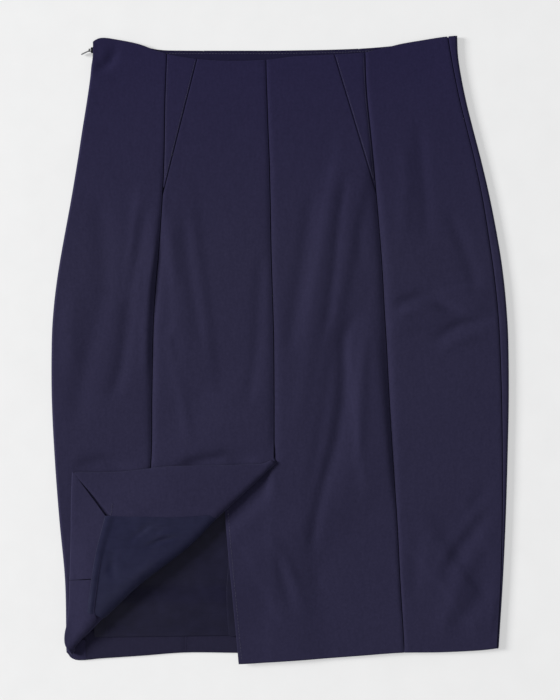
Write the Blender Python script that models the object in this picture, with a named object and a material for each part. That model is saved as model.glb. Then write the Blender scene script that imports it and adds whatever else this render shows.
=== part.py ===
"""Pencil skirt laid flat on its front, back up, with the lower left corner of its back vent turned over.

X runs across the skirt, Y up to the waist, Z up from the surface it lies on. Every size and table is in
millimetres and is turned into metres when a mesh is made. Cloth points are given on the flat pattern as
(x, y, w), where w is the distance from the middle of the wall towards the right side of the cloth; a lay_
function then puts them where the cloth lies.
"""

import math
from collections import namedtuple

import bmesh
import bpy
from mathutils import Vector

MM = 0.001
WALL = 1.2  # suiting
LINING_WALL = 1.0
ZIP_WALL = 0.7
GAP = 0.3  # between pieces
LAYER = WALL + GAP  # middle of one layer to the middle of the next
TURN = LAYER / 2  # radius of a pressed fold, at the middle of the wall
SIDE_R = 2.4  # radius of the fold at each side of the skirt, at the middle of the wall
SIDE_ARC = math.pi * SIDE_R
SEAM = GAP / 2
INSET_END = 150.0  # where the inset triangles run out
FACING = 50.0  # width of the vent facing
HEM_BACK_LEFT = 32.0  # depth of the hem turn-ups
HEM_LEFT_SIDE = 26.0
HEM_BACK_RIGHT = 28.0
HEM_FRONT = 34.0
WAIST_FACING = 40.0
ZIP_TOP, ZIP_END = 308.6, 108.0

# The outline and the seams of the back, at heights from waist to hem. side_left is how far past the start
# of the left fold the side seam lies, measured round the fold.
Section = namedtuple("Section", "y left princess_left centre princess_right side_right right side_left")
SECTIONS = (
    Section(330, -197.4, -118.0, -16.2, 86.6, 172.6, 183.2, SIDE_ARC / 2),
    Section(308, -197.0, -118.6, -15.6, 87.4, 176.2, 184.0, SIDE_ARC / 2),
    Section(288, -198.0, -119.4, -15.2, 88.0, 179.8, 186.8, SIDE_ARC / 2),
    Section(260, -201.8, -120.4, -14.3, 89.7, 185.6, 192.4, SIDE_ARC / 2),
    Section(230, -206.6, -120.8, -13.3, 92.8, 193.0, 199.8, SIDE_ARC / 2),
    Section(198, -211.5, -121.4, -12.0, 95.9, 201.0, 208.1, SIDE_ARC / 2),
    Section(156, -218.5, -123.2, -11.0, 99.6, 209.6, 217.8, SIDE_ARC / 2),
    Section(104, -228.0, -126.8, -10.1, 104.0, 217.8, 227.5, 3.9),
    Section(73, -233.0, -129.6, -9.2, 106.0, 222.0, 231.8, 4.2),
    Section(42, -236.6, -131.8, -8.2, 107.6, 225.2, 234.7, 4.7),
    Section(11, -238.4, -133.0, -7.4, 109.5, 227.2, 236.4, 5.3),
    Section(-50, -238.4, -134.0, -7.0, 112.6, 229.2, 236.9, 7.6),
    Section(-114, -235.2, -134.8, -7.0, 116.4, 230.0, 235.6, 11.5),
    Section(-176, -230.5, -136.0, -7.0, 120.6, 229.8, 233.7, 16.0),
    Section(-239, -224.6, -137.6, -7.0, 123.8, 228.4, 230.8, 20.5),
    Section(-301, -223.4, -139.6, -7.0, 127.6, 225.0, 226.9, 24.5),
    Section(-330, -223.2, -140.4, -7.0, 128.8, 223.4, 225.2, 26.0),
)
# The long edges of the two insets run straight from the waist to the princess seams.
Inset = namedtuple("Inset", "y left right")
INSETS = (Inset(303.4, -87.1, 56.6), Inset(INSET_END, -123.2, 100.0))
# The two waist edges: the back's dips in the middle and shows the inside of the front.
Waist = namedtuple("Waist", "x back front")
WAIST = (
    Waist(-200, 316.0, 315.5),
    Waist(-194, 323.2, 322.7),
    Waist(-186, 325.2, 324.7),
    Waist(-168, 322.6, 322.1),
    Waist(-147, 318.2, 317.6),
    Waist(-128, 311.2, 313.2),
    Waist(-104, 305.3, 312.3),
    Waist(-70, 301.5, 312.2),
    Waist(-42, 301.1, 312.2),
    Waist(-12, 302.4, 312.2),
    Waist(14, 305.6, 312.5),
    Waist(52, 307.4, 313.2),
    Waist(87, 309.9, 314.6),
    Waist(110, 315.0, 316.4),
    Waist(125, 318.7, 318.1),
    Waist(146, 322.3, 321.8),
    Waist(166, 325.4, 324.9),
    Waist(184, 327.2, 326.7),
)
Hem = namedtuple("Hem", "x back front")
HEM = (
    Hem(-224, -311.0, -312.0),
    Hem(-218, -311.5, -319.0),
    Hem(-210, -313.0, -321.4),
    Hem(-188, -316.0, -319.6),
    Hem(-146, -321.0, -316.8),
    Hem(-100, -325.0, -313.4),
    Hem(-43, -325.4, -313.7),
    Hem(-14, -323.7, -313.6),
    Hem(20, -321.5, -313.0),
    Hem(51, -319.2, -312.4),
    Hem(82, -316.9, -311.8),
    Hem(124, -313.8, -311.2),
    Hem(166, -313.2, -310.6),
    Hem(207, -311.2, -310.0),
    Hem(226, -309.0, -309.0),
)
# The front's two princess seams.
FrontSeam = namedtuple("FrontSeam", "y left right")
FRONT_SEAMS = (
    FrontSeam(330, -80.0, 80.0),
    FrontSeam(230, -84.0, 85.0),
    FrontSeam(104, -92.0, 95.0),
    FrontSeam(-20, -98.0, 103.0),
    FrontSeam(-176, -99.6, 107.0),
    FrontSeam(-330, -100.2, 108.6),
)
# The turned corner rolls over a line that leaves the top of the vent; s runs along it.
VENT_TOP = (-7.2, -119.0)
ROLL_DIR = (-0.736, -0.677)
ROLL_OUT = (0.677, -0.736)
STACK = LAYER + WALL / 2  # what lies outside the middle of the rolled wall
Roll = namedtuple("Roll", "s edge radius")
ROLL = (
    Roll(-20, 0.0, 1.2),
    Roll(0, 0.0, 1.2),
    Roll(35, 0.2, 2.8),
    Roll(75, 0.4, 3.4),
    Roll(122, 2.4, 3.6),
    Roll(187, -2.8, 3.6),
    Roll(232, -2.0, 3.3),
    Roll(258, -0.5, 2.7),
    Roll(275, 0.0, 2.1),
    Roll(290, 4.5, 1.8),
    Roll(320, 18.0, 1.8),
)
# Outline of the turned corner where it lies: its vent edge, then its hem edge.
FLAP_VENT = ((-17.5, -117.4), (-75.0, -119.2), (-133.1, -121.6), (-215.0, -125.8))
FLAP_HEM = ((-215.0, -125.8), (-216.4, -184.0), (-217.8, -243.0), (-221.0, -284.0))
FLAP_REST = 2.3  # middle of the flap's wall above the middle of the wall it lies on
FLAP_SETTLE = 30.0  # distance from the roll over which it comes down
# Underlap of the right side of the vent: its edge, and its hidden slanting top.
UNDERLAP = ((-123.0, -62.0), (-168.0, -58.0), (-221.5, -53.2), (-257.4, -49.7), (-335.0, -42.6))
# Soft folds and rises of the back above the plain level, each along a direction.
Rise = namedtuple("Rise", "x y dx dy along across height")
RISES = (
    Rise(-95, -200, -0.736, -0.677, 250, 112, 2.7),  # the turned corner and what is under it
    Rise(-20, -272, 0.0, -1.0, 116, 70, 1.5),  # what lies under the underlap
    Rise(0, 318, 1.0, 0.0, 230, 70, -1.1),  # waist
    Rise(-142, 108, -0.12, -0.99, 78, 20, 1.5),  # left of the left princess seam
    Rise(-96, 60, 0.12, -0.99, 130, 24, 1.2),
    Rise(58, 112, -0.19, -0.98, 130, 26, 1.5),
    Rise(58, -54, -0.16, -0.99, 130, 22, -0.8),
    Rise(92, -62, 0.1, -0.99, 110, 22, 1.5),
    Rise(-4, -236, 0.45, -0.89, 60, 24, 0.8),
    Rise(166, 44, 0.97, 0.24, 70, 20, 1.1),
    Rise(196, -208, 0.5, -0.87, 70, 22, -0.8),
    Rise(176, -236, 0.6, -0.8, 80, 20, 0.9),
)


def through(points):
    """A smooth curve through (key, value) pairs with rising keys, level outside them."""
    keys = [p[0] for p in points]
    values = [p[1] for p in points]
    slopes = []
    for i in range(len(keys)):
        low, high = max(i - 1, 0), min(i + 1, len(keys) - 1)
        slopes.append((values[high] - values[low]) / (keys[high] - keys[low]))

    def at(key):
        if key <= keys[0]:
            return values[0]
        if key >= keys[-1]:
            return values[-1]
        i = max(k for k in range(len(keys) - 1) if keys[k] <= key)
        h = keys[i + 1] - keys[i]
        t = (key - keys[i]) / h
        return (
            values[i] * (1 + 2 * t) * (1 - t) ** 2
            + slopes[i] * h * t * (1 - t) ** 2
            + values[i + 1] * t * t * (3 - 2 * t)
            + slopes[i + 1] * h * t * t * (t - 1)
        )

    return at


def column_of(rows, key, value):
    return through(sorted((getattr(row, key), getattr(row, value)) for row in rows))


def smooth(t):
    t = min(1.0, max(0.0, t))
    return t * t * (3 - 2 * t)


left, right = column_of(SECTIONS, "y", "left"), column_of(SECTIONS, "y", "right")
princess_left = column_of(SECTIONS, "y", "princess_left")
princess_right = column_of(SECTIONS, "y", "princess_right")
centre = column_of(SECTIONS, "y", "centre")
side_right = column_of(SECTIONS, "y", "side_right")
side_left = column_of(SECTIONS, "y", "side_left")
waist_back, waist_front = column_of(WAIST, "x", "back"), column_of(WAIST, "x", "front")
hem_back, hem_front = column_of(HEM, "x", "back"), column_of(HEM, "x", "front")
front_left, front_right = column_of(FRONT_SEAMS, "y", "left"), column_of(FRONT_SEAMS, "y", "right")
roll_edge, roll_radius = column_of(ROLL, "s", "edge"), column_of(ROLL, "s", "radius")
underlap_edge = through(sorted((y, x) for y, x in UNDERLAP))


def inset_edge(side):
    """The straight long edge of an inset, as x at a height."""
    top, tip = INSETS

    def at(y):
        share = (y - tip.y) / (top.y - tip.y)
        return getattr(tip, side) + (getattr(top, side) - getattr(tip, side)) * share

    return at


inset_left, inset_right = inset_edge("left"), inset_edge("right")


def bend_left(y):
    """Where the left side fold starts."""
    return left(y) + SIDE_R + WALL / 2


def bend_right(y):
    return right(y) - SIDE_R - WALL / 2


def bell(t):
    return 1 - smooth(2 * abs(t) - 1)


def height(x, y):
    """Middle of the back's wall above the surface."""
    flat = WALL / 2 + 2 * SIDE_R
    rise = 0.0
    for r in RISES:
        u = (x - r.x) * r.dx + (y - r.y) * r.dy
        v = (x - r.x) * -r.dy + (y - r.y) * r.dx
        rise += r.height * bell(u / r.along) * bell(v / r.across)
    inside = min(x - bend_left(y), bend_right(y) - x)
    return flat + rise * smooth(inside / 26.0)


def around(c, start, side, y, w):
    """A point c past the start of a side fold, measured round it."""
    if c < SIDE_ARC:
        a = c / SIDE_R
        return (
            start + side * (SIDE_R + w) * math.sin(a),
            y,
            WALL / 2 + SIDE_R + (SIDE_R + w) * math.cos(a),
        )
    return (start - side * (c - SIDE_ARC), y, WALL / 2 - w)


def lay_back(x, y, w):
    if x > bend_right(y):
        return around(x - bend_right(y), bend_right(y), 1, y, w)
    if x < bend_left(y):
        return around(bend_left(y) - x, bend_left(y), -1, y, w)
    return (x, y, height(x, y) + w)


def lay_front(x, y, w):
    return (x, y, WALL / 2 - w)


def beyond(x, y):
    """Distance along the roll's line, and past the edge that shows."""
    px, py = x - VENT_TOP[0], y - VENT_TOP[1]
    return px * ROLL_DIR[0] + py * ROLL_DIR[1], px * ROLL_OUT[0] + py * ROLL_OUT[1]


def roll_start(s):
    return roll_edge(s) - roll_radius(s) - STACK


def rolled(x, y):
    """How far past the start of the roll a pattern point is."""
    s, out = beyond(x, y)
    return out - roll_start(s)


def from_line(s, out):
    return (
        VENT_TOP[0] + s * ROLL_DIR[0] + out * ROLL_OUT[0],
        VENT_TOP[1] + s * ROLL_DIR[1] + out * ROLL_OUT[1],
    )


def unfold(x, y):
    """The pattern point that lies at (x, y) on the turned corner."""
    s, out = beyond(x, y)
    back = roll_start(s) - out
    return from_line(s, roll_start(s) + math.pi * roll_radius(s) + back)


def lay_left(x, y, w):
    """The back, left of the vent: round the roll and back over it."""
    d = rolled(x, y)
    if d <= 0:
        return lay_back(x, y, w)
    s, _ = beyond(x, y)
    r, start = roll_radius(s), roll_start(s)
    if d < math.pi * r:
        a = d / r
        px, py = from_line(s, start + (r - w) * math.sin(a))
        base = height(*from_line(s, start))
        return (px, py, base + r - (r - w) * math.cos(a))
    back = d - math.pi * r
    px, py = from_line(s, start - back)
    lift = FLAP_REST + (2 * r - FLAP_REST) * math.exp(-back / FLAP_SETTLE)
    return (px, py, height(px, py) + lift - w)


def lay_right(x, y, w):
    """The back, right of the vent: the underlap dips under the left side."""
    _, out = beyond(x, y)
    under = smooth((centre(y) - x) / 12.0)
    dip = under * (0.5 + 2.5 * (1 - smooth((out - 12.0) / 16.0)))
    px, py, pz = lay_back(x, y, w)
    return (px, py, pz - dip)


VENT_EDGE = sorted((y, x) for x, y in (unfold(*p) for p in FLAP_VENT))
HEM_LEFT = sorted([unfold(*p) for p in FLAP_HEM] + [(-212.0, -315.0), (-219.5, -311.5), (-224.0, -311.0)])
vent_edge = through(VENT_EDGE)
hem_left = through(HEM_LEFT)


class Sheet:
    """Cloth as nodes on its middle, each with a point on either face, joined by quads."""

    def __init__(self, lay, wall):
        self.lay, self.half = lay, wall / 2
        self.nodes, self.quads = {}, []

    def node(self, key, x, y, w=0.0, nx=0.0, ny=0.0, nw=1.0):
        h = self.half
        self.nodes[key] = (
            self.lay(x + nx * h, y + ny * h, w + nw * h),
            self.lay(x - nx * h, y - ny * h, w - nw * h),
        )

    def block(self, keys):
        """Quads between neighbouring nodes of a table of keys."""
        for a, b in zip(keys, keys[1:]):
            for k in range(len(a) - 1):
                self.quads.append((a[k], b[k], b[k + 1], a[k + 1]))

    def mesh(self):
        order = {key: n for n, key in enumerate(self.nodes)}
        points = [p for pair in self.nodes.values() for p in pair]
        faces, edges = [], {}
        for quad in self.quads:
            a, b, c, d = (order[k] for k in quad)
            for one, two, three in ((a, b, c), (a, c, d)):
                faces.append((2 * one, 2 * two, 2 * three))
                faces.append((2 * three + 1, 2 * two + 1, 2 * one + 1))
            for one, two in ((a, b), (b, c), (c, d), (d, a)):
                if (two, one) in edges:
                    del edges[(two, one)]
                else:
                    edges[(one, two)] = True
        for one, two in edges:
            faces.append((2 * two, 2 * one, 2 * one + 1))
            faces.append((2 * two, 2 * one + 1, 2 * two + 1))
        return points, faces


def make(name, points, faces, material):
    mesh = bpy.data.meshes.new(name)
    mesh.from_pydata([tuple(v * MM for v in p) for p in points], [], faces)
    whole = bmesh.new()
    whole.from_mesh(mesh)
    bmesh.ops.recalc_face_normals(whole, faces=whole.faces)
    whole.to_mesh(mesh)
    whole.free()
    mesh.materials.append(material)
    body = bpy.data.objects.new(name, mesh)
    bpy.context.scene.collection.objects.link(body)
    return body


def finish(colour, roughness, metallic=0.0):
    material = bpy.data.materials.new("finish")
    material.use_nodes = True
    shader = material.node_tree.nodes["Principled BSDF"]
    shader.inputs["Base Color"].default_value = (*colour, 1.0)
    shader.inputs["Roughness"].default_value = roughness
    shader.inputs["Metallic"].default_value = metallic
    return material


def spread(low, high, count):
    return [low + (high - low) * k / count for k in range(count + 1)]


def solve(test, low, high):
    """The y between low and high where test changes sign, or the nearer end."""
    if test(low) < 0:
        return low
    for _ in range(40):
        middle = (low + high) / 2
        if test(middle) > 0:
            low = middle
        else:
            high = middle
    return (low + high) / 2


TOP_ROWS = (0.0, 0.09, 0.16, 0.36, 0.56, 0.78, 1.0)
LAP_TOP = UNDERLAP[0][0]
MAIN_ROWS, ROLL_ROWS, FLAP_ROWS = 12, 6, 3
TURN_ANGLES = (math.pi / 3, 2 * math.pi / 3, math.pi)


def is_under(x, y):
    """Whether an unrolled point of the tube is on its lower half."""
    c = max(x - bend_right(y), bend_left(y) - x)
    return c > SIDE_ARC / 2


def top_of(column, back=waist_back, front=waist_front):
    y = 320.0
    for _ in range(6):
        x = column(y)
        y = (front if is_under(x, y) else back)(lay_back(x, y, 0.0)[0])
    return y


def end_of(column, back=hem_back, front=hem_front):
    y = -315.0
    for _ in range(8):
        x = column(y)
        if is_under(x, y):
            y = front(lay_back(x, y, 0.0)[0])
        else:
            y = back(x)
    return y


def even_rows(column):
    top, end = top_of(column), end_of(column)
    rows = [top + (INSET_END - top) * t for t in TOP_ROWS]
    rows += spread(INSET_END, end + 12.0, MAIN_ROWS)[1:]
    return rows + [end]


def plain_rows(column):
    """Even rows, with one where the underlap starts."""
    top, end = top_of(column), end_of(column)
    rows = [top + (INSET_END - top) * t for t in TOP_ROWS]
    rows += spread(INSET_END, LAP_TOP, 8)[1:] + spread(LAP_TOP, end + 12.0, 6)[1:]
    return rows + [end]


def roll_rows(column, end):
    """Rows from the start of the roll to the end of the column."""
    start = max(solve(lambda y: rolled(column(y), y), -345.0, -95.0), end + 12.0)

    def past_roll(y):
        return rolled(column(y), y) - math.pi * roll_radius(beyond(column(y), y)[0])

    done = solve(past_roll, -345.0, -95.0)
    done = max(done, end + 4.0)
    return spread(start, done, ROLL_ROWS) + spread(done, end, FLAP_ROWS)[1:]


def left_rows(column):
    top, end = top_of(column), end_of(column, back=hem_left)
    rolling = roll_rows(column, end)
    rows = [top + (INSET_END - top) * t for t in TOP_ROWS]
    rows += spread(INSET_END, rolling[0], MAIN_ROWS)[1:]
    return rows + rolling[1:]


def panel(lay, columns, rows_of, wall=WALL, w=0.0):
    sheet = Sheet(lay, wall)
    keys = []
    for i, column in enumerate(columns):
        line = []
        for j, y in enumerate(rows_of(column)):
            sheet.node((i, j), column(y), y, w)
            line.append((i, j))
        keys.append(line)
    sheet.block(keys)
    return sheet, keys


def turn_up(sheet, keys, columns, ends, depths, shift=lambda i, depth: 0.0):
    """A hem folded under from the last node of each column."""
    table = []
    for i, column in enumerate(columns):
        end = ends[i]
        line = [keys[i][-1]]
        for k, a in enumerate(TURN_ANGLES):
            key = ("hem", i, k)
            side, out = math.sin(a), math.cos(a)
            sheet.node(key, column(end), end - TURN * side, TURN * (out - 1), 0.0, -side, out)
            line.append(key)
        for k, share in enumerate((0.5, 1.0)):
            key = ("hem", i, k + len(TURN_ANGLES))
            depth = depths[i] * share
            sheet.node(key, column(end + depth) + shift(i, depth), end + depth, -LAYER, 0.0, 0.0, -1.0)
            line.append(key)
        table.append(line)
    sheet.block(table)


def between(low, high, shares):
    """Columns at shares of the way between two seams, clear of both."""
    def column(share):
        return lambda y: low(y) + SEAM + (high(y) - low(y) - 2 * SEAM) * share
    return [column(share) for share in shares]


def shares(count):
    return [k / count for k in range(count + 1)]


def hemmed(lay, columns, rows_of, depth):
    sheet, keys = panel(lay, columns, rows_of)
    ends = [rows_of(column)[-1] for column in columns]
    turn_up(sheet, keys, columns, ends, [depth] * len(columns))
    return sheet


def zip_gap(y):
    """Half the gap at the left side seam, open at the top for the slider."""
    return SEAM + 0.1 + 2.35 * smooth((y - 289.0) / 18.0)


def back_side_left():
    flat = (1.0, 0.8, 0.6, 0.4, 0.2, 0.07, 0.0)
    rounds = (0.1, 0.2, 0.3, 0.42, 0.6, 1.0)

    def on_top(share):
        return lambda y: bend_left(y) + (princess_left(y) - SEAM - bend_left(y)) * share

    def past(share):
        return lambda y: bend_left(y) - (side_left(y) - zip_gap(y)) * share

    columns = [on_top(t) for t in flat] + [past(t) for t in rounds]
    sheet, keys = panel(lay_left, columns, left_rows)
    ends = [left_rows(column)[-1] for column in columns]
    depths = []
    for i, column in enumerate(columns):
        free = roll_rows(column, ends[i])[ROLL_ROWS] - ends[i]  # hem that lies beyond the roll
        depths.append(min(HEM_LEFT_SIDE, max(5.0, 0.85 * free)) if i < len(flat) + 3 else 20.0)
    turn_up(sheet, keys, columns, ends, depths)
    return sheet


def centre_left_edge(y):
    return inset_left(y) if y > INSET_END else princess_left(y)


def vent_or_seam(y):
    """The centre seam, then the vent's edge, drawn in to leave room for its facing's fold."""
    drawn = VENT_TOP[1] + 12.0
    return centre(y) + (vent_edge(y) - 1.8 - centre(y)) * smooth((drawn - y) / 9.0)


def facing_ratio():
    return FACING / HEM_BACK_LEFT


def back_centre_left():
    columns = between(centre_left_edge, vent_or_seam, shares(8))
    sheet, keys = panel(lay_left, columns, left_rows)
    ends = [left_rows(column)[-1] for column in columns]
    depths = [HEM_LEFT_SIDE + (HEM_BACK_LEFT - HEM_LEFT_SIDE) * t for t in shares(8)]
    turn_up(
        sheet, keys, columns, ends, depths,
        lambda i, depth: -(depth * facing_ratio() + SEAM) * shares(8)[i],
    )
    edge = columns[-1]
    first = len(TOP_ROWS) + MAIN_ROWS - 1  # the row where the roll starts
    table = [keys[-1][first:]]
    for k, a in enumerate(TURN_ANGLES):
        line = []
        for j, y in enumerate(left_rows(edge)[first:]):
            key = ("vent", k, j)
            last = j == ROLL_ROWS + FLAP_ROWS
            side, out = math.sin(a), math.cos(a)
            drop = SEAM * 2 if last else 0.0
            sheet.node(key, edge(y) + TURN * side, y + drop, TURN * (out - 1), side, 0.0, out)
            line.append(key)
        table.append(line)
    for k, share in enumerate((0.3, 0.65, 1.0)):
        depth = FACING * share

        def column(y, depth=depth):
            return edge(y) - depth

        end = end_of(column, back=hem_left)
        rows = roll_rows(column, end + depth / facing_ratio() + SEAM * 2)
        line = []
        for j, y in enumerate(rows):
            key = ("vent", k + len(TURN_ANGLES), j)
            sheet.node(key, column(y), y, -LAYER, 0.0, 0.0, -1.0)
            line.append(key)
        table.append(line)
    sheet.block(table)
    return sheet


def centre_right_edge(y):
    return inset_right(y) if y > INSET_END else princess_right(y)


def back_centre_right():
    columns = between(centre, centre_right_edge, shares(7))
    sheet, keys = panel(lay_right, columns, plain_rows)
    ends = [plain_rows(column)[-1] for column in columns]
    # The underlap joins the first column below the top of the vent.
    seam = columns[0]
    rows = plain_rows(seam)
    first = min(j for j, y in enumerate(rows) if y < LAP_TOP + 1.0)
    sides = (0.0, 0.25, 0.6, 1.0)
    lap = []
    for share in sides:
        def column(y, share=share):
            return seam(y) + (underlap_edge(y) - seam(y)) * share
        lap.append(column)
    table, lap_ends = [keys[0][first:]], []
    for i, column in enumerate(lap):
        end = hem_back(column(-320.0))
        lap_ends.append(end)
        if i == 0:
            continue
        top = rows[first] - 14.0 * sides[i]
        line = []
        shares_down = [(row - rows[first]) / (rows[-2] - rows[first]) for row in rows[first:-1]]
        ys = [top + (end + 12.0 - top) * share for share in shares_down]
        for j, y in enumerate(ys + [end]):
            sheet.node(("lap", i, j), column(y), y)
            line.append(("lap", i, j))
        table.append(line)
    sheet.block([list(reversed(line)) for line in table])
    every = [lap[i] for i in (3, 2, 1)] + columns
    every_keys = [table[i] for i in (3, 2, 1)] + keys
    turn_up(sheet, every_keys, every, [lap_ends[i] for i in (3, 2, 1)] + ends, [HEM_BACK_RIGHT] * len(every))
    return sheet


def inset(outer, inner, count):
    """A triangle from the waist to a narrow tip."""
    columns = between(outer, inner, shares(2))
    tip = INSET_END + 6.0

    def rows(column):
        top = top_of(column)
        return spread(top, tip, count)

    sheet, _ = panel(lay_back, columns, rows)
    return sheet


def back_side_right():
    columns = between(princess_right, side_right, shares(6))
    return hemmed(lay_back, columns, plain_rows, HEM_BACK_RIGHT)


def front_side_right():
    rounds = (0.0, 0.25, 0.4, 0.55, 0.7, 0.85, 1.0)
    flat = (0.33, 0.66, 1.0)

    def past(share):
        def column(y):
            start = side_right(y) + SEAM - bend_right(y)
            return bend_right(y) + start + (SIDE_ARC - start) * share
        return column

    def below(share):
        def column(y):
            run = bend_right(y) - front_right(y) - SEAM
            return bend_right(y) + SIDE_ARC + run * share
        return column

    columns = [past(t) for t in rounds] + [below(t) for t in flat]
    return hemmed(lay_back, columns, plain_rows, HEM_BACK_RIGHT)


def front_side_left():
    near = (0.0, 0.012, 0.022, 0.036, 0.3, 0.65, 1.0)

    def past(share):
        def column(y):
            start = side_left(y) + zip_gap(y)
            run = SIDE_ARC + front_left(y) - SEAM - bend_left(y)
            return bend_left(y) - (start + (run - start) * share)
        return column

    return hemmed(lay_back, [past(t) for t in near], even_rows, HEM_FRONT - 6.0)


def front_rows(column):
    top, end = waist_front(column(315.0)), hem_front(column(-313.0))
    rows = [top + (INSET_END - top) * t for t in TOP_ROWS]
    return rows + spread(INSET_END, end + 12.0, MAIN_ROWS)[1:] + [end]


def front_centre():
    columns = between(front_left, front_right, shares(5))
    return hemmed(lay_front, columns, front_rows, HEM_FRONT)


def strip(lay, columns, low, high, count, wall, w):
    """A plain layer between two curves of x."""
    def rows(column):
        return spread(high(column(high(column(0.0)))), low(column(low(column(0.0)))), count)
    sheet, _ = panel(lay, columns, rows, wall, w)
    return sheet


def straight(low, high, count):
    def column(x):
        return lambda y: x
    return [column(x) for x in spread(low, high, count)]


def waist_facing_front():
    return strip(
        lay_front, straight(-189.0, 176.0, 18),
        lambda x: waist_front(x) - WAIST_FACING, lambda x: waist_front(x) - 0.9, 2, WALL, -LAYER,
    )


def lining_front():
    return strip(
        lay_front, straight(-181.0, 4.0, 6),
        lambda x: -297.6 + (x + 181.0) * 0.014, lambda x: -104.0, 4, LINING_WALL, -(2 * LAYER - 0.1),
    )


def lining_back_left():
    edge = between(centre_left_edge, vent_or_seam, shares(8))[-1]
    low = -186.0
    columns = [
        (lambda y, t=t: low + (edge(y) - FACING - GAP - low) * t) for t in shares(6)
    ]

    def rows(column):
        across = smooth((column(-300.0) - low) / (-57.0 - low))
        depth = HEM_LEFT_SIDE + (HEM_BACK_LEFT - HEM_LEFT_SIDE) * across
        end = end_of(column, back=hem_left) + depth + GAP
        rolling = roll_rows(column, end)
        return [rolling[0] + 16.0] + rolling

    sheet, _ = panel(lay_left, columns, rows, LINING_WALL, -LAYER)
    return sheet


def lining_back_right():
    edge = through([(-297.0, -53.8), (-274.0, -55.6), (-249.0, -56.2), (-221.0, -54.4), (-205.0, -55.0)])
    columns = [(lambda y, t=t: edge(y) + 13.0 * t) for t in (0.0, 0.5, 1.0)]
    sheet, _ = panel(lay_right, columns, lambda column: spread(-210.0, -296.6, 4), LINING_WALL, -LAYER)
    return sheet


def zip_chain():
    def column(share):
        return lambda y: bend_left(y) - side_left(y) - 2.7 * share
    sheet, _ = panel(
        lay_back, [column(t) for t in (-1.0, -0.5, 0.0, 0.5, 1.0)],
        lambda c: spread(ZIP_TOP, ZIP_END, 6), ZIP_WALL, -LAYER - 0.15,
    )
    return sheet


# The zip's slider and its pull tab, about the tab's hinge, which stands upright at PIVOT.
PIVOT = (-198.3, 312.1, 3.0)
WINDOW = (0.75, 0.95)  # half sizes of the bridge's window, out from the seam and along it
BRIDGE = (1.6, 1.5, 0.55)  # how far the bridge reaches outwards and along the seam, and its half thickness
BODY = (0.8, 3.4, 3.0, 1.2)  # the slider's body: from, to, half length, half thickness
EYE = (0.3, 2.7, 0.95)  # the tab's eye: from, to, half width
TAB_HALF = 0.35  # half the tab's thickness
TAB_ANGLE = 206.0  # the way the tab points, in degrees from +X
# The tab's outline outwards from the hinge: distance and half width.
TAB_OUTLINE = ((-0.3, 1.35), (2.9, 1.5), (5.0, 1.8), (8.0, 2.1), (9.6, 1.9), (10.4, 1.1))


def ring_mesh(inner, outer, low, high):
    """A flat ring between two outlines with the same number of points."""
    count = len(inner)
    points = [(x, y, z) for z in (low, high) for loop in (inner, outer) for x, y in loop]

    def at(level, loop, k):
        return (level * 2 + loop) * count + k % count

    faces = []
    for k in range(count):
        corners = [(at(0, 0, k), at(0, 1, k)), (at(1, 0, k), at(1, 1, k))]
        following = [(at(0, 0, k + 1), at(0, 1, k + 1)), (at(1, 0, k + 1), at(1, 1, k + 1))]
        quads = (
            (corners[0][0], following[0][0], following[0][1], corners[0][1]),
            (corners[1][1], following[1][1], following[1][0], corners[1][0]),
            (corners[0][1], following[0][1], following[1][1], corners[1][1]),
            (corners[1][0], following[1][0], following[0][0], corners[0][0]),
        )
        for a, b, c, d in quads:
            faces += [(a, b, c), (a, c, d)]
    return points, faces


def zip_slider(material):
    wx, wy = WINDOW
    bx, by, bz = BRIDGE
    inner = [(-wx, -wy), (-wx, wy), (wx, wy), (wx, -wy)]
    outer = [(-bx, -by), (-bx, by), (wx + 0.6, by), (wx + 0.6, -by)]
    points, faces = ring_mesh(inner, outer, -bz, bz)
    near, far, long, thick = BODY
    bevel = 0.5
    body_low = [(near, -long + bevel), (near, long - bevel), (near + bevel, long), (far - bevel, long),
                (far, long - bevel), (far, -long + bevel), (far - bevel, -long), (near + bevel, -long)]
    count = len(body_low)
    body_points = [(x, y, z) for z in (-thick, thick) for x, y in body_low]
    body_faces = [tuple(range(count)), tuple(reversed(range(count, 2 * count)))]
    for k in range(count):
        n = (k + 1) % count
        body_faces.append((k, n, n + count, k + count))

    def placed(p):
        return tuple(a + b for a, b in zip(p, PIVOT))

    slider = make("zip_slider", [placed(p) for p in points], faces, material)
    body = make("zip_slider_body", [placed(p) for p in body_points], body_faces, material)
    for each in (slider, body):
        each.data.update()
    join = slider.modifiers.new("join", "BOOLEAN")
    join.operation, join.object, join.solver = "UNION", body, "EXACT"
    graph = bpy.context.evaluated_depsgraph_get()
    joined = bpy.data.meshes.new_from_object(slider.evaluated_get(graph))
    slider.modifiers.remove(join)
    slider.data = joined
    bpy.data.objects.remove(body)


def zip_pull_tab(material):
    near, far, half = EYE
    outer = [(a, -b) for a, b in TAB_OUTLINE] + [(a, b) for a, b in reversed(TAB_OUTLINE)]
    middle = (near + far) / 2
    inner = [(near, -half), (far - 0.4, -half), (far, -half + 0.3), (far, -0.25), (far, -0.12), (far, -0.04),
             (far, 0.04), (far, 0.12), (far, 0.25), (far, half - 0.3), (far - 0.4, half), (near, half)]
    points, faces = ring_mesh(inner, outer, -TAB_HALF, TAB_HALF)
    turn = math.radians(TAB_ANGLE)
    placed = []
    for along, wide, thick in points:
        placed.append((
            PIVOT[0] + along * math.cos(turn) - thick * math.sin(turn),
            PIVOT[1] + along * math.sin(turn) + thick * math.cos(turn),
            PIVOT[2] + wide,
        ))
    make("zip_pull_tab", placed, faces, material)


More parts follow.
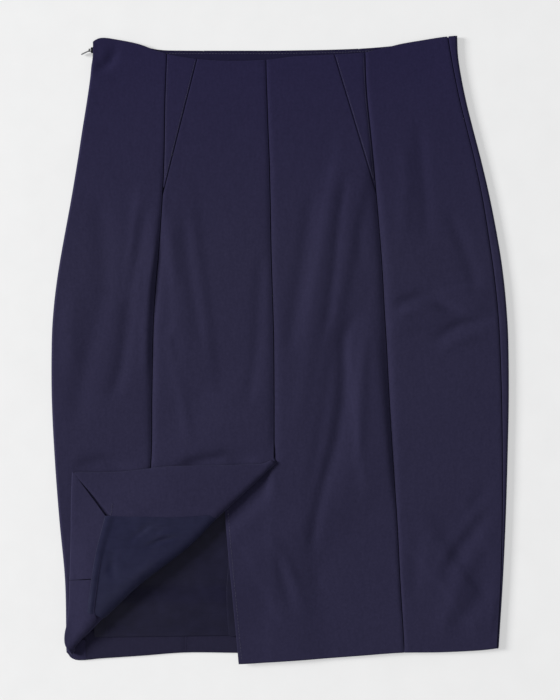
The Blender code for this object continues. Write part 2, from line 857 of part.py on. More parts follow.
def build():
    for thing in list(bpy.data.objects):
        bpy.data.objects.remove(thing, do_unlink=True)
    sheets = {
        "back_side_left": back_side_left(),
        "back_inset_left": inset(princess_left, inset_left, 7),
        "back_centre_left": back_centre_left(),
        "back_centre_right": back_centre_right(),
        "back_inset_right": inset(inset_right, princess_right, 7),
        "back_side_right": back_side_right(),
        "front_side_left": front_side_left(),
        "front_centre": front_centre(),
        "front_side_right": front_side_right(),
        "waist_facing_front": waist_facing_front(),
        "lining_front": lining_front(),
        "lining_back_left": lining_back_left(),
        "lining_back_right": lining_back_right(),
        "zip_chain": zip_chain(),
    }
    looks = {"lining": ((0.021, 0.023, 0.055), 0.42), "zip": ((0.012, 0.012, 0.022), 0.5)}
    for name, sheet in sheets.items():
        colour, roughness = looks.get(name.split("_")[0], ((0.026, 0.024, 0.052), 0.85))
        points, faces = sheet.mesh()
        make(name, points, faces, finish(colour, roughness))
    zip_slider(finish((0.05, 0.05, 0.06), 0.4, 1.0))
    zip_pull_tab(finish((0.18, 0.18, 0.19), 0.35, 1.0))
    corners = [v.co for each in bpy.data.objects for v in each.data.vertices]
    shift = [(min(c[k] for c in corners) + max(c[k] for c in corners)) / 2 for k in (0, 1)]
    for each in bpy.data.objects:
        for v in each.data.vertices:
            v.co.x -= shift[0]
            v.co.y -= shift[1]
    tab = bpy.data.objects["zip_pull_tab"]
    hinge = Vector((PIVOT[0] * MM - shift[0], PIVOT[1] * MM - shift[1], PIVOT[2] * MM))
    for v in tab.data.vertices:
        v.co -= hinge
    tab.location = hinge


build()
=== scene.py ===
"""Looks of the pencil skirt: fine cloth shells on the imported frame, with creases, seams and stitches.

Tables and sizes are in millimetres and are turned into metres when a mesh is made. Cloth is laid out on
its pattern as (x, y, w), with w the distance from the middle of the wall towards the right side of the
cloth, and a lay_ function puts it where it lies, as in the CAD source.
"""

import math
from collections import namedtuple

import bpy
import numpy as np

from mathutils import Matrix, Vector


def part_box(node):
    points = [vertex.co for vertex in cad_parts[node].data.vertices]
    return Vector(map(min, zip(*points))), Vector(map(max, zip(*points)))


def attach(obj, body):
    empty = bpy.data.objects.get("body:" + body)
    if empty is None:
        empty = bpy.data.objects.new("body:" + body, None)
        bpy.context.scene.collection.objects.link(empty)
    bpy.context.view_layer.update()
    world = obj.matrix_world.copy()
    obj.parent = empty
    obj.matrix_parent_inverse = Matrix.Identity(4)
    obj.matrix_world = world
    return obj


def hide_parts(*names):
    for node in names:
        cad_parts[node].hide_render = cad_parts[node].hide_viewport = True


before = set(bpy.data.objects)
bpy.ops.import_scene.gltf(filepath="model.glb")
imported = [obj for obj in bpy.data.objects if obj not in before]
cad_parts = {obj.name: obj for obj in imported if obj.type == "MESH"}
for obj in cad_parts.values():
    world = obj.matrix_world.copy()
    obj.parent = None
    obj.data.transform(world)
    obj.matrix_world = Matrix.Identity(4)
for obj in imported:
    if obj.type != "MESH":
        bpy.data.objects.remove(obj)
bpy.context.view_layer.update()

MM = 0.001
CAD_WALL = 1.2
HALF = 0.5  # half the shown thickness of the suiting
LINING_HALF = 0.3
TAPE_HALF = 0.3
LAYER = 1.5  # middle of one layer to the middle of the next
TURN = LAYER / 2
SIDE_R = 2.4
SIDE_ARC = math.pi * SIDE_R
SEAM = 0.34  # half the gap that shows at a seam, closed again at the hem
WAIST_START, HEM_START = 320.0, -315.0  # first guesses of a column's ends
INSET_END = 162.0
INSET_STOP = 7.0  # the shown insets stop this far above their points
FACING = 50.0
MITRE_DEPTH, HEM_TURNED = 38.0, 29.0
MITRE_FROM, MITRE_RUN = -186.0, 129.0  # where the turned hem starts to deepen, and over what length
HEM_LEFT_SIDE = 26.0
HEM_BACK_RIGHT = 28.0
HEM_FRONT = 34.0
HEM_FRONT_LEFT = 28.0
HEM_SLACK = 0.35  # how far the free edge of a turn-up stands off
WAIST_FACING = 40.0
LINING_LAP = 4.0  # the linings' hems lap over the turn-ups by this much
LINING_TILT = 0.014  # slope of the front lining's hem
ZIP_TOP, ZIP_END = 308.6, 108.0
CREASE_GAIN = 1.3
CREASE_SPREAD = 0.8
CREASE_FADE = 34.0
CLEAR_BODY, CLEAR_HEM = 2.0, 4.6  # lowest middle of the back over the front, and over its turn-up
CLEAR_LINING = 0.9  # and this much more where the front lining lies between them
OVER_HEM, OVER_HEM_FADE = 52.0, 14.0  # above the hem's edge
LINING_FROM, LINING_TO = -94.0, -240.0
SOFTEN = 2.5  # how sharply relief is held above its lowest
NO_END = -400.0
SIDE_GROOVE_WIDTH, INSET_GROOVE_WIDTH = 1.2, 0.9
FRONT_GROOVE, FRONT_GROOVE_WIDTH = 0.5, 1.3
RISE_FADE = 26.0  # the back rises to its full height this far inside its sides
STEP = 3.2  # spacing of the cloth's points
EDGE_STEP = 0.7  # and beside a seam
FRONT_STEP = 6.0
EDGE_PROFILE = ((0.84, 0.84), (1.0, 0.0), (0.84, -0.84))  # out and up, in half thicknesses
TURN_ANGLES = np.radians([30, 60, 90, 120, 150, 180])
ROLL_ROWS = 16
FLAP_ROWS = 40
TUBE_SIDES = 6
rng = np.random.default_rng(7)

# The slider's lowest corner in the tables' own place gives the shift to the frame.
PIVOT = (-198.3, 312.1)
slider_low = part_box("zip_slider")[0]
SLIDER_LOW = (1.6, 3.0)  # from its lowest corner to the tab's pivot
SHIFT = np.array([
    slider_low.x / MM - (PIVOT[0] - SLIDER_LOW[0]), slider_low.y / MM - (PIVOT[1] - SLIDER_LOW[1]), 0.0,
])


def table(columns, *rows):
    """A table's rows with named columns."""
    row_of = namedtuple("Row", columns)
    return tuple(row_of(*row) for row in rows)


SECTIONS = table(
    "y left princess_left centre princess_right side_right right side_left",
    (330, -197.4, -118.0, -16.2, 86.6, 172.6, 183.2, SIDE_ARC / 2),
    (308, -197.0, -118.6, -15.6, 87.4, 176.2, 184.0, SIDE_ARC / 2),
    (288, -198.0, -119.4, -15.2, 88.0, 179.8, 186.8, SIDE_ARC / 2),
    (260, -201.8, -120.4, -14.3, 89.7, 185.6, 192.4, SIDE_ARC / 2),
    (230, -206.6, -120.8, -13.3, 92.8, 193.0, 199.8, SIDE_ARC / 2),
    (198, -211.5, -121.4, -12.0, 95.9, 201.0, 208.1, SIDE_ARC / 2),
    (156, -218.5, -123.2, -11.0, 99.6, 209.6, 217.8, SIDE_ARC / 2),
    (104, -228.0, -126.8, -10.1, 104.0, 217.8, 227.5, 3.9),
    (73, -233.0, -129.6, -9.2, 106.0, 222.0, 231.8, 4.2),
    (42, -236.6, -131.8, -8.2, 107.6, 225.2, 234.7, 4.7),
    (11, -238.4, -133.0, -7.4, 109.5, 227.2, 236.4, 5.3),
    (-50, -238.4, -134.0, -7.0, 112.6, 229.2, 236.9, 7.6),
    (-114, -235.2, -134.8, -7.0, 116.4, 230.0, 235.6, 11.5),
    (-176, -230.5, -141.0, -7.0, 120.6, 229.8, 233.7, 16.0),
    (-239, -224.6, -148.5, -7.0, 123.8, 228.4, 230.8, 20.5),
    (-301, -223.4, -155.0, -7.0, 127.6, 225.0, 226.9, 24.5),
    (-330, -223.2, -157.0, -7.0, 128.8, 223.4, 225.2, 26.0),
)
INSETS = table("y left right", (303.4, -87.1, 56.6), (INSET_END, -122.7, 99.2))
WAIST = table(
    "x back front",
    (-200, 313.9, 313.4),
    (-194, 321.0, 320.5),
    (-186, 324.2, 323.7),
    (-168, 322.0, 321.5),
    (-147, 317.6, 317.0),
    (-128, 310.6, 312.6),
    (-104, 304.7, 311.7),
    (-70, 300.9, 311.6),
    (-42, 300.5, 311.6),
    (-12, 301.8, 311.6),
    (14, 305.0, 311.9),
    (52, 306.8, 312.6),
    (87, 309.3, 314.0),
    (110, 314.4, 315.8),
    (125, 318.1, 317.5),
    (146, 321.7, 321.2),
    (166, 324.8, 324.3),
    (184, 326.6, 326.1),
)
HEM = table(
    "x back front",
    (-224, -310.6, -311.6),
    (-218, -311.1, -318.6),
    (-210, -312.6, -321.0),
    (-188, -315.6, -319.2),
    (-146, -320.6, -316.4),
    (-100, -324.6, -313.0),
    (-43, -324.4, -313.3),
    (-14, -322.7, -313.2),
    (20, -320.5, -312.6),
    (51, -318.2, -312.0),
    (82, -315.9, -311.4),
    (124, -312.8, -310.8),
    (166, -312.2, -310.2),
    (207, -310.2, -309.6),
    (226, -308.0, -308.6),
)
FRONT_SEAMS = table(
    "y left right",
    (330, -80.0, 80.0),
    (230, -84.0, 85.0),
    (104, -92.0, 95.0),
    (-20, -98.0, 103.0),
    (-176, -99.6, 107.0),
    (-330, -100.2, 108.6),
)
VENT_TOP = (-7.2, -119.0)
ROLL_DIR = (-0.736, -0.677)
ROLL_OUT = (0.677, -0.736)
STACK = LAYER + CAD_WALL / 2
ROLL = table(
    "s edge radius",
    (-20, 0.0, 1.2),
    (0, 0.0, 1.2),
    (35, 0.2, 1.5),
    (75, 0.4, 2.1),
    (122, 2.4, 3.1),
    (187, -2.8, 4.2),
    (232, -2.0, 4.0),
    (258, -0.5, 3.2),
    (275, 0.0, 2.3),
    (290, 4.5, 1.8),
    (320, 18.0, 1.8),
)
FLAP_VENT = ((-17.5, -117.4), (-75.0, -119.2), (-133.1, -121.6), (-215.0, -125.8))
FLAP_HEM = ((-215.0, -125.8), (-216.4, -184.0), (-217.8, -243.0), (-221.0, -284.0))
ROLL_STRETCH = 2.9  # the roll reaches out this many times its radius, and is two radii high
FLAP_REST, FLAP_SETTLE = 2.3, 70.0
UNDERLAP = ((-335.0, -42.6), (-257.4, -49.7), (-221.5, -53.2), (-168.0, -58.0), (-123.0, -62.0))
LAP_TOP = -108.0
RISES = table(
    "x y dx dy along across height",
    (-95, -200, -0.736, -0.677, 250, 112, 2.7),
    (-20, -272, 0.0, -1.0, 116, 70, 1.5),
    (0, 318, 1.0, 0.0, 230, 70, -1.1),
    (-142, 108, -0.12, -0.99, 78, 20, 1.5),
    (-96, 60, 0.12, -0.99, 130, 24, 1.2),
    (58, 112, -0.19, -0.98, 130, 26, 1.5),
    (58, -54, -0.16, -0.99, 130, 22, -0.8),
    (92, -62, 0.1, -0.99, 110, 22, 1.5),
    (-4, -236, 0.45, -0.89, 60, 24, 0.8),
    (166, 44, 0.97, 0.24, 70, 20, 1.1),
    (196, -208, 0.5, -0.87, 70, 22, -0.8),
    (176, -236, 0.6, -0.8, 80, 20, 0.9),
)
# Creases pressed or worn into the back, each a soft trough (negative) or ridge along a short path.
CREASES = table(
    "path width height",
    # left side panel
    (((-139, 154), (-147, 108), (-157, 63), (-160, 21), (-166, -20), (-178, -55)), 9, -1.3),
    (((-128, 120), (-136, 70), (-140, 20), (-141, -30)), 5.5, 0.9),
    (((-189, 166), (-184, 104), (-183, 62), (-196, 10), (-208, -42), (-212, -80)), 13, -0.9),
    (((-214, 70), (-219, 20), (-217, -30)), 12, 0.8),
    (((-214, -123), (-204, -117), (-184, -115), (-152, -121)), 7.0, -2.6),
    (((-110, -123), (-92, -116), (-58, -110), (-20, -116)), 7.0, -2.9),
    (((-172, 319), (-173, 308), (-177, 300), (-183, 295.5), (-192, 294), (-206, 294)), 5.6, -1.8),
    (((-184, 316), (-186, 306), (-192, 302)), 6, 0.9),
    # left of the centre seam
    (((-101, 145), (-97, 94), (-89, 46), (-83, 0)), 8, -0.85),
    (((-115, 140), (-112, 90), (-108, 60)), 6, 0.55),
    (((-122, 30), (-119, 14)), 8, -1.0),
    (((-106, 40), (-112, 25), (-116, 9), (-108, -25), (-100, -62), (-94, -103)), 6, 0.65),
    (((-84, 8), (-82, -4)), 5, -0.7),
    (((-20, 104), (-23, 50), (-25, 0), (-31, -40), (-37, -62)), 8, -0.75),
    (((-60, -30), (-58, -70)), 20, 0.8),
    # right of the centre seam
    (((52, 190), (45, 130), (38, 70), (32, 20), (24, -40), (14, -90)), 10, 0.5),
    (((68, 184), (61, 140), (56, 90), (50, 40), (44, 10)), 6, -1.0),
    (((33, 170), (25, 110), (14, 40), (8, -10)), 9, -0.8),
    (
        ((84, 45), (72, 27), (66, 10), (65, -50), (58, -94), (46, -134), (36, -176), (31, -216)),
        7.5, -1.3,
    ),
    (((86, 22), (84, -20), (83, -60), (80, -104), (76, -130)), 7, 0.8),
    (((31, -218), (40, -246), (42, -260)), 9, -0.9),
    (((58, -20), (48, -90), (35, -150)), 6, 0.3),
    (((8, -95), (0, -101), (-5, -104)), 7, -0.5),
    (((-6, -205), (2, -235), (10, -262), (14, -280)), 7, -0.8),
    (((4, -205), (12, -236), (20, -262)), 6, 0.5),
    (((84, 160), (80, 120), (84, 80)), 7, -0.5),
    # right side panel
    (((116, 40), (126, 50), (142, 55), (160, 53), (176, 45), (191, 38)), 6.5, -2.2),
    (((118, 29), (134, 42), (152, 43), (172, 34)), 7, 1.4),
    (((155, 8), (168, 17), (186, 26), (206, 29), (222, 31)), 6, -1.8),
    (((160, -4), (178, 8), (200, 16), (218, 20)), 7, 1.0),
    (((142, 240), (146, 200), (150, 160), (152, 110)), 8, -0.8),
    (((172, 150), (188, 112), (198, 84), (206, 50)), 8, -0.9),
    (((126, 220), (130, 170), (126, 110)), 8, 0.6),
    (((216, -130), (208, -150), (196, -166), (184, -176)), 7, -0.7),
    (((218, -160), (206, -180), (190, -200), (176, -222), (166, -242)), 9, -1.0),
    (((208, -160), (192, -184), (176, -204), (160, -232)), 8, 0.55),
    (((216, -192), (200, -214), (186, -240), (172, -276), (166, -300)), 11, 0.95),
    (((217, -236), (206, -256), (192, -276), (178, -296)), 11, -1.1),
    (((226, -246), (222, -270), (214, -296)), 9, 0.8),
    (((104, 36), (109, 30), (112, 26)), 4.5, -1.2),
    (((118, 25), (124, 20)), 5, 0.7),
    (((144, -180), (140, -220), (138, -262)), 9, -0.7),
)
# How deep and wide the groove of each seam is, from waist to hem.
GROOVES = table(
    "y centre left right side diagonal width_centre width_left width_right",
    (330, 0.5, 0.5, 0.7, 0.5, 0.4, 1.2, 1.2, 1.3),
    (230, 1.0, 0.5, 1.4, 0.6, 0.3, 2.4, 1.3, 2.2),
    (150, 1.2, 1.3, 2.0, 0.8, 0.3, 3.0, 2.6, 3.6),
    (60, 1.2, 2.3, 2.3, 0.9, 0.3, 3.4, 4.4, 4.2),
    (-20, 1.4, 2.2, 2.3, 0.9, 0.3, 3.8, 3.8, 4.0),
    (-100, 1.4, 1.5, 2.0, 0.8, 0.3, 3.8, 2.8, 3.4),
    (-180, 0.8, 0.8, 1.2, 0.6, 0.3, 1.5, 1.2, 1.8),
    (-330, 0.8, 0.7, 1.1, 0.5, 0.4, 1.5, 1.2, 1.6),
)
# Soft wrinkles of the lining where it is turned over, in the place where they lie.
FLAP_CREASES = table(
    "path width height",
    (((-104, -192), (-126, -197), (-142, -203)), 3.2, -0.9),
    (((-106, -187), (-124, -191), (-140, -197)), 3.4, 0.8),
    (((-128, -176), (-142, -185), (-158, -197)), 3.6, -0.7),
    (((-118, -178), (-134, -184)), 3.5, 0.7),
    (((-172, -206), (-175, -226), (-170, -240)), 6.0, -0.9),
    (((-110, -205), (-140, -226), (-166, -250)), 6.0, 0.7),
    (((-162, -186), (-176, -196)), 5.0, 0.5),
)
FACING_CREASES = table(
    "path width height",
    (((-206, -140), (-190, -150), (-178, -172)), 7.0, 0.15),
    (((-150, -136), (-110, -146), (-80, -150)), 12.0, 0.6),
    (((-156, -171), (-138, -170), (-112, -175)), 6.0, -0.8),
)


def through(points):
    """A smooth curve through (key, value) pairs with rising keys, level outside them."""
    keys = np.array([p[0] for p in points], float)
    values = np.array([p[1] for p in points], float)
    low = np.maximum(np.arange(len(keys)) - 1, 0)
    high = np.minimum(np.arange(len(keys)) + 1, len(keys) - 1)
    slopes = (values[high] - values[low]) / (keys[high] - keys[low])

    def at(key):
        k = np.clip(np.asarray(key, float), keys[0], keys[-1])
        i = np.clip(np.searchsorted(keys, k, side="right") - 1, 0, len(keys) - 2)
        h = keys[i + 1] - keys[i]
        t = (k - keys[i]) / h
        return (
            values[i] * (1 + 2 * t) * (1 - t) ** 2
            + slopes[i] * h * t * (1 - t) ** 2
            + values[i + 1] * t * t * (3 - 2 * t)
            + slopes[i + 1] * h * t * t * (t - 1)
        )

    return at


def column_of(rows, key, value):
    return through(sorted((getattr(row, key), getattr(row, value)) for row in rows))


def smooth(t):
    t = np.clip(t, 0.0, 1.0)
    return t * t * (3 - 2 * t)


left, right = column_of(SECTIONS, "y", "left"), column_of(SECTIONS, "y", "right")
princess_left = column_of(SECTIONS, "y", "princess_left")
princess_right = column_of(SECTIONS, "y", "princess_right")
centre = column_of(SECTIONS, "y", "centre")
side_right = column_of(SECTIONS, "y", "side_right")
side_left = column_of(SECTIONS, "y", "side_left")
waist_back, waist_front = column_of(WAIST, "x", "back"), column_of(WAIST, "x", "front")
hem_back, hem_front = column_of(HEM, "x", "back"), column_of(HEM, "x", "front")
front_left, front_right = column_of(FRONT_SEAMS, "y", "left"), column_of(FRONT_SEAMS, "y", "right")
roll_edge, roll_radius = column_of(ROLL, "s", "edge"), column_of(ROLL, "s", "radius")
underlap_edge = through(UNDERLAP)
groove = {name: column_of(GROOVES, "y", name) for name in GROOVES[0]._fields[1:]}


def inset_edge(side):
    top, tip = INSETS
    low, high = getattr(tip, side), getattr(top, side)
    return lambda y: low + (high - low) * (y - tip.y) / (top.y - tip.y)


inset_left, inset_right = inset_edge("left"), inset_edge("right")


def bend_left(y):
    return left(y) + SIDE_R + CAD_WALL / 2


def bend_right(y):
    return right(y) - SIDE_R - CAD_WALL / 2


def bell(t):
    return 1 - smooth(2 * np.abs(t) - 1)


def height(x, y):
    """Middle of the back's wall above the surface, as in the CAD."""
    rise = 0.0
    for r in RISES:
        u = (x - r.x) * r.dx + (y - r.y) * r.dy
        v = (x - r.x) * -r.dy + (y - r.y) * r.dx
        rise = rise + r.height * bell(u / r.along) * bell(v / r.across)
    inside = np.minimum(x - bend_left(y), bend_right(y) - x)
    return CAD_WALL / 2 + 2 * SIDE_R + rise * smooth(inside / RISE_FADE)


def creased(x, y, creases):
    """Sum of creases at points of the cloth."""
    total = np.zeros(np.broadcast(x, y).shape)
    for crease in creases:
        near = np.full(total.shape, 1e9)
        share = np.zeros(total.shape)
        lengths = [math.dist(a, b) for a, b in zip(crease.path, crease.path[1:])]
        run, whole = 0.0, sum(lengths)
        for (ax, ay), (bx, by), length in zip(crease.path, crease.path[1:], lengths):
            t = np.clip(((x - ax) * (bx - ax) + (y - ay) * (by - ay)) / length**2, 0, 1)
            away = np.hypot(x - ax - t * (bx - ax), y - ay - t * (by - ay))
            closer = away < near
            near = np.where(closer, away, near)
            share = np.where(closer, (run + t * length) / whole, share)
            run += length
        ends = smooth(np.minimum(share, 1 - share) * whole / CREASE_FADE + 0.15)
        total = total + crease.height * ends * np.exp(-((near / (crease.width * CREASE_SPREAD)) ** 2))
    return total


def seam_groove(x, y, seam, depth, width, low=NO_END):
    """A groove along a seam, from low upwards."""
    inside = smooth((y - low) / 6.0)
    return -depth(y) * inside * np.exp(-np.abs((x - seam(y)) / width(y)) ** 1.5)


def relief(x, y):
    """Creases and seam grooves of the back, along its right side."""
    w = CREASE_GAIN * creased(x, y, CREASES)
    for seam, depth, width, low in (
        (centre, "centre", groove["width_centre"], VENT_TOP[1]),
        (princess_left, "left", groove["width_left"], NO_END),
        (princess_right, "right", groove["width_right"], NO_END),
        (side_right, "side", lambda y: SIDE_GROOVE_WIDTH, NO_END),
        (inset_left, "diagonal", lambda y: INSET_GROOVE_WIDTH, INSET_END),
        (inset_right, "diagonal", lambda y: INSET_GROOVE_WIDTH, INSET_END),
    ):
        w = w + seam_groove(x, y, seam, groove[depth], width, low)
    over_hem = smooth((hem_back(x) + OVER_HEM - y) / OVER_HEM_FADE)
    over_lining = smooth((LINING_FROM - y) / 10.0) * smooth((y - LINING_TO) / 20.0)
    clear = CLEAR_BODY + (CLEAR_HEM - CLEAR_BODY) * over_hem + CLEAR_LINING * over_lining
    lowest = clear - height(x, y)
    return lowest + np.logaddexp(0.0, (w - lowest) * SOFTEN) / SOFTEN


def around(c, start, side, y, w):
    a = np.clip(c, 0, SIDE_ARC) / SIDE_R
    flat = np.maximum(c - SIDE_ARC, 0.0)
    return np.stack(
        [
            start + side * ((SIDE_R + w) * np.sin(a) - flat),
            y + 0.0 * w,
            CAD_WALL / 2 + SIDE_R + (SIDE_R + w) * np.cos(a),
        ],
        axis=-1,
    )


def lay_back(x, y, w):
    x, y, w = np.broadcast_arrays(np.asarray(x, float), y, w)
    flat = np.stack([x, y, height(x, y) + w], axis=-1)
    r, lo = bend_right(y), bend_left(y)
    out = np.where((x > r)[..., None], around(x - r, r, 1, y, w), flat)
    return np.where((x < lo)[..., None], around(lo - x, lo, -1, y, w), out)


def lay_front(x, y, w):
    x, y, w = np.broadcast_arrays(np.asarray(x, float), y, w)
    return np.stack([x, y, CAD_WALL / 2 - w], axis=-1)


def beyond(x, y):
    """Distance along the roll's line from the vent top, and out from that line."""
    px, py = x - VENT_TOP[0], y - VENT_TOP[1]
    return px * ROLL_DIR[0] + py * ROLL_DIR[1], px * ROLL_OUT[0] + py * ROLL_OUT[1]


def roll_start(s):
    return roll_edge(s) - ROLL_STRETCH * roll_radius(s) - STACK


def rolled(x, y):
    s, out = beyond(x, y)
    return out - roll_start(s)


def from_line(s, out):
    return (
        VENT_TOP[0] + s * ROLL_DIR[0] + out * ROLL_OUT[0],
        VENT_TOP[1] + s * ROLL_DIR[1] + out * ROLL_OUT[1],
    )


def unfold(x, y):
    """The pattern point of a place on the turned-over part."""
    s, out = beyond(x, y)
    back = roll_start(s) - out
    return from_line(s, roll_start(s) + math.pi * roll_radius(s) + back)


def lay_left(x, y, w):
    """As lay_back, but round the roll and back over itself past its start."""
    x, y, w = np.broadcast_arrays(np.asarray(x, float), y, w)
    d = rolled(x, y)
    s, _ = beyond(x, y)
    r, start = roll_radius(s), roll_start(s)
    a = np.clip(d / r, 0, math.pi)
    back = np.maximum(d - math.pi * r, 0.0)
    px, py = from_line(s, start + (ROLL_STRETCH * r - w) * np.sin(a) - back)
    lift = FLAP_REST + (2 * r - FLAP_REST) * np.exp(-((back / FLAP_SETTLE) ** 2))
    on_roll = height(*from_line(s, start)) + r - (r - w) * np.cos(a)
    pz = np.where(back > 0, height(px, py) + lift - w, on_roll)
    return np.where((d > 0)[..., None], np.stack([px, py, pz], axis=-1), lay_back(x, y, w))


def lay_right(x, y, w):
    """As lay_back, but dipping where it runs under the left side's lap."""
    _, out = beyond(x, y)
    under = smooth((centre(y) - x) / 12.0)
    dip = under * (0.5 + 2.5 * (1 - smooth((out - 12.0) / 16.0)))
    return lay_back(x, y, w - dip)


vent_edge = through(sorted((float(y), float(x)) for x, y in (unfold(*p) for p in FLAP_VENT)))
HEM_CORNER = ((-212.0, -315.0), (-219.5, -311.5), (-224.0, -311.0))
hem_left = through(sorted([tuple(map(float, unfold(*p))) for p in FLAP_HEM] + list(HEM_CORNER)))


def flap_point(x, y):
    """Where a pattern point lies in plan."""
    p = lay_left(x, y, 0.0)
    return p[..., 0], p[..., 1]


class Cloth:
    """Nodes on the middle of a sheet, woven into quads, and thickened with rounded edges."""

    def __init__(self, lay, half):
        self.lay, self.half = lay, half
        self.nodes, self.flat, self.quads, self.count = [], [], [], 0

    def add(self, x, y, w=0.0, normal=(0.0, 0.0, 1.0), beyond_hem=0.0, beyond_edge=0.0):
        """A table of nodes; returns their numbers. The flat pattern runs on past y and x by beyond_."""
        x, y, w, nx, ny, nw, past, aside = np.broadcast_arrays(x, y, w, *normal, beyond_hem, beyond_edge)
        self.nodes.append(np.stack([x, y, w, nx, ny, nw], axis=-1).reshape(-1, 6))
        self.flat.append(np.stack([x + aside, y - past], axis=-1).reshape(-1, 2))
        numbers = np.arange(self.count, self.count + x.size).reshape(x.shape)
        self.count += x.size
        return numbers

    def weave(self, n):
        self.quads.append(np.stack([n[:-1, :-1], n[1:, :-1], n[1:, 1:], n[:-1, 1:]], axis=-1).reshape(-1, 4))

    def build(self, name, material):
        """The piece, the width and length of its flat pattern, and the pattern's area."""
        nodes = np.concatenate(self.nodes)
        quads = np.concatenate(self.quads)
        p, n = nodes[:, :3], nodes[:, 3:]
        middle = self.lay(*p.T)
        face = self.lay(*(p + n * 0.05).T) - middle
        face /= np.linalg.norm(face, axis=1, keepdims=True)
        front, reverse = middle + face * self.half, middle - face * self.half
        across, down = middle[quads[:, 2]] - middle[quads[:, 0]], middle[quads[:, 3]] - middle[quads[:, 1]]
        if np.sum(np.cross(across, down) * face[quads[:, 0]]) < 0:
            quads = quads[:, ::-1]
        edges = np.concatenate([quads[:, [k, (k + 1) % 4]] for k in range(4)])
        order = dict.fromkeys(map(tuple, edges.tolist()))
        rim = [(a, b) for a, b in order if (b, a) not in order]
        outward = np.zeros_like(middle)
        for a, b in rim:
            along = middle[b] - middle[a]
            side = np.cross(along, face[a])
            side /= max(np.linalg.norm(side), 1e-9)
            outward[a] += side
            outward[b] += side
        size = np.linalg.norm(outward, axis=1, keepdims=True)
        outward = outward / np.maximum(size, 1e-9)
        total = self.count
        points = [front, reverse]
        rings = []
        rim_nodes = sorted({a for edge in rim for a in edge})
        index = {a: k for k, a in enumerate(rim_nodes)}
        for k, (out, up) in enumerate(EDGE_PROFILE):
            points.append(middle[rim_nodes] + self.half * (outward[rim_nodes] * out + face[rim_nodes] * up))
            rings.append(2 * total + k * len(rim_nodes))
        faces = quads.tolist() + (quads[:, ::-1] + total).tolist()
        for a, b in rim:
            ladder_a = [a] + [base + index[a] for base in rings] + [a + total]
            ladder_b = [b] + [base + index[b] for base in rings] + [b + total]
            for k in range(len(ladder_a) - 1):
                faces.append([ladder_b[k], ladder_a[k], ladder_a[k + 1], ladder_b[k + 1]])
        piece = mesh_piece(name, np.concatenate(points), faces, material)
        flat = np.concatenate(self.flat)
        corners = flat[quads]
        x, y = corners[..., 0], corners[..., 1]
        nx, ny = np.roll(x, -1, axis=1), np.roll(y, -1, axis=1)
        area = float(np.abs((x * ny - nx * y).sum(axis=1)).sum() / 2)
        width, length = (flat.max(axis=0) - flat.min(axis=0)).tolist()
        return piece, (width * MM, length * MM), area * MM * MM


def mesh_piece(name, points, faces, material):
    mesh = bpy.data.meshes.new(name)
    mesh.from_pydata(((points + SHIFT) * MM).tolist(), [], faces)
    mesh.polygons.foreach_set("use_smooth", [True] * len(mesh.polygons))
    mesh.materials.append(material)
    mesh.update()
    piece = bpy.data.objects.new(name, mesh)
    bpy.context.scene.collection.objects.link(piece)
    return piece


def runs(start, stop, shares):
    """A row of values from start to stop for each column."""
    return start[:, None] + (stop - start)[:, None] * shares


def each(x_at, rows):
    """The x of every point of a table of rows."""
    return np.stack([x_at(rows[:, k]) for k in range(rows.shape[1])], axis=1)


def eased(length, fine=EDGE_STEP, coarse=STEP):
    """Shares of a length with short steps at both ends."""
    steps, at, step = [0.0], 0.0, fine
    while at + step < length / 2:
        at += step
        steps.append(at)
        step = min(step * 1.35, coarse)
    steps += [length - s for s in reversed(steps)]
    return np.array(steps) / length


def solve(test, low, high):
    """Where test changes sign between low and high, in each column; low where it doesn't."""
    outside = test(low) < 0
    a, b = low.copy(), high.copy()
    for _ in range(30):
        middle = (a + b) / 2
        positive = test(middle) > 0
        a, b = np.where(positive, middle, a), np.where(positive, b, middle)
    return np.where(outside, low, (a + b) / 2)


def is_under(x, y):
    return np.maximum(x - bend_right(y), bend_left(y) - x) > SIDE_ARC / 2


def top_of(x_at, count):
    y = np.full(count, WAIST_START)
    for _ in range(8):
        x = x_at(y)
        plan = lay_back(x, y, 0.0)[..., 0]
        y = np.where(is_under(x, y), waist_front(plan), waist_back(plan))
    return y


def end_of(x_at, count, back=hem_back):
    y = np.full(count, HEM_START)
    for _ in range(10):
        x = x_at(y)
        plan = lay_back(x, y, 0.0)[..., 0]
        y = np.where(is_under(x, y), hem_front(plan), back(x))
    return y


def roll_rows(x_at, count, end, flap_count=FLAP_ROWS):
    """Rows of a panel that goes round the roll: from its start, round it, and on to the hem."""
    lowest, highest = np.full(count, -345.0), np.full(count, -95.0)
    start = np.maximum(solve(lambda y: rolled(x_at(y), y), lowest, highest), end + 12.0)
    half_turn = solve(
        lambda y: rolled(x_at(y), y) - math.pi * roll_radius(beyond(x_at(y), y)[0]), lowest, highest,
    )
    done = np.maximum(half_turn, end + 4.0)
    roll = runs(start, done, np.linspace(0, 1, ROLL_ROWS + 1))
    return np.concatenate([roll, runs(done, end, np.linspace(0, 1, flap_count + 1)[1:])], axis=1)


def left_rows(x_at, count, end):
    """Rows from the waist, round the roll and on to the hem; and the number of the roll's first row."""
    rolling = roll_rows(x_at, count, end)
    body = runs(top_of(x_at, count), rolling[:, 0], eased(540.0, fine=1.0))
    return np.concatenate([body, rolling[:, 1:]], axis=1), body.shape[1] - 1


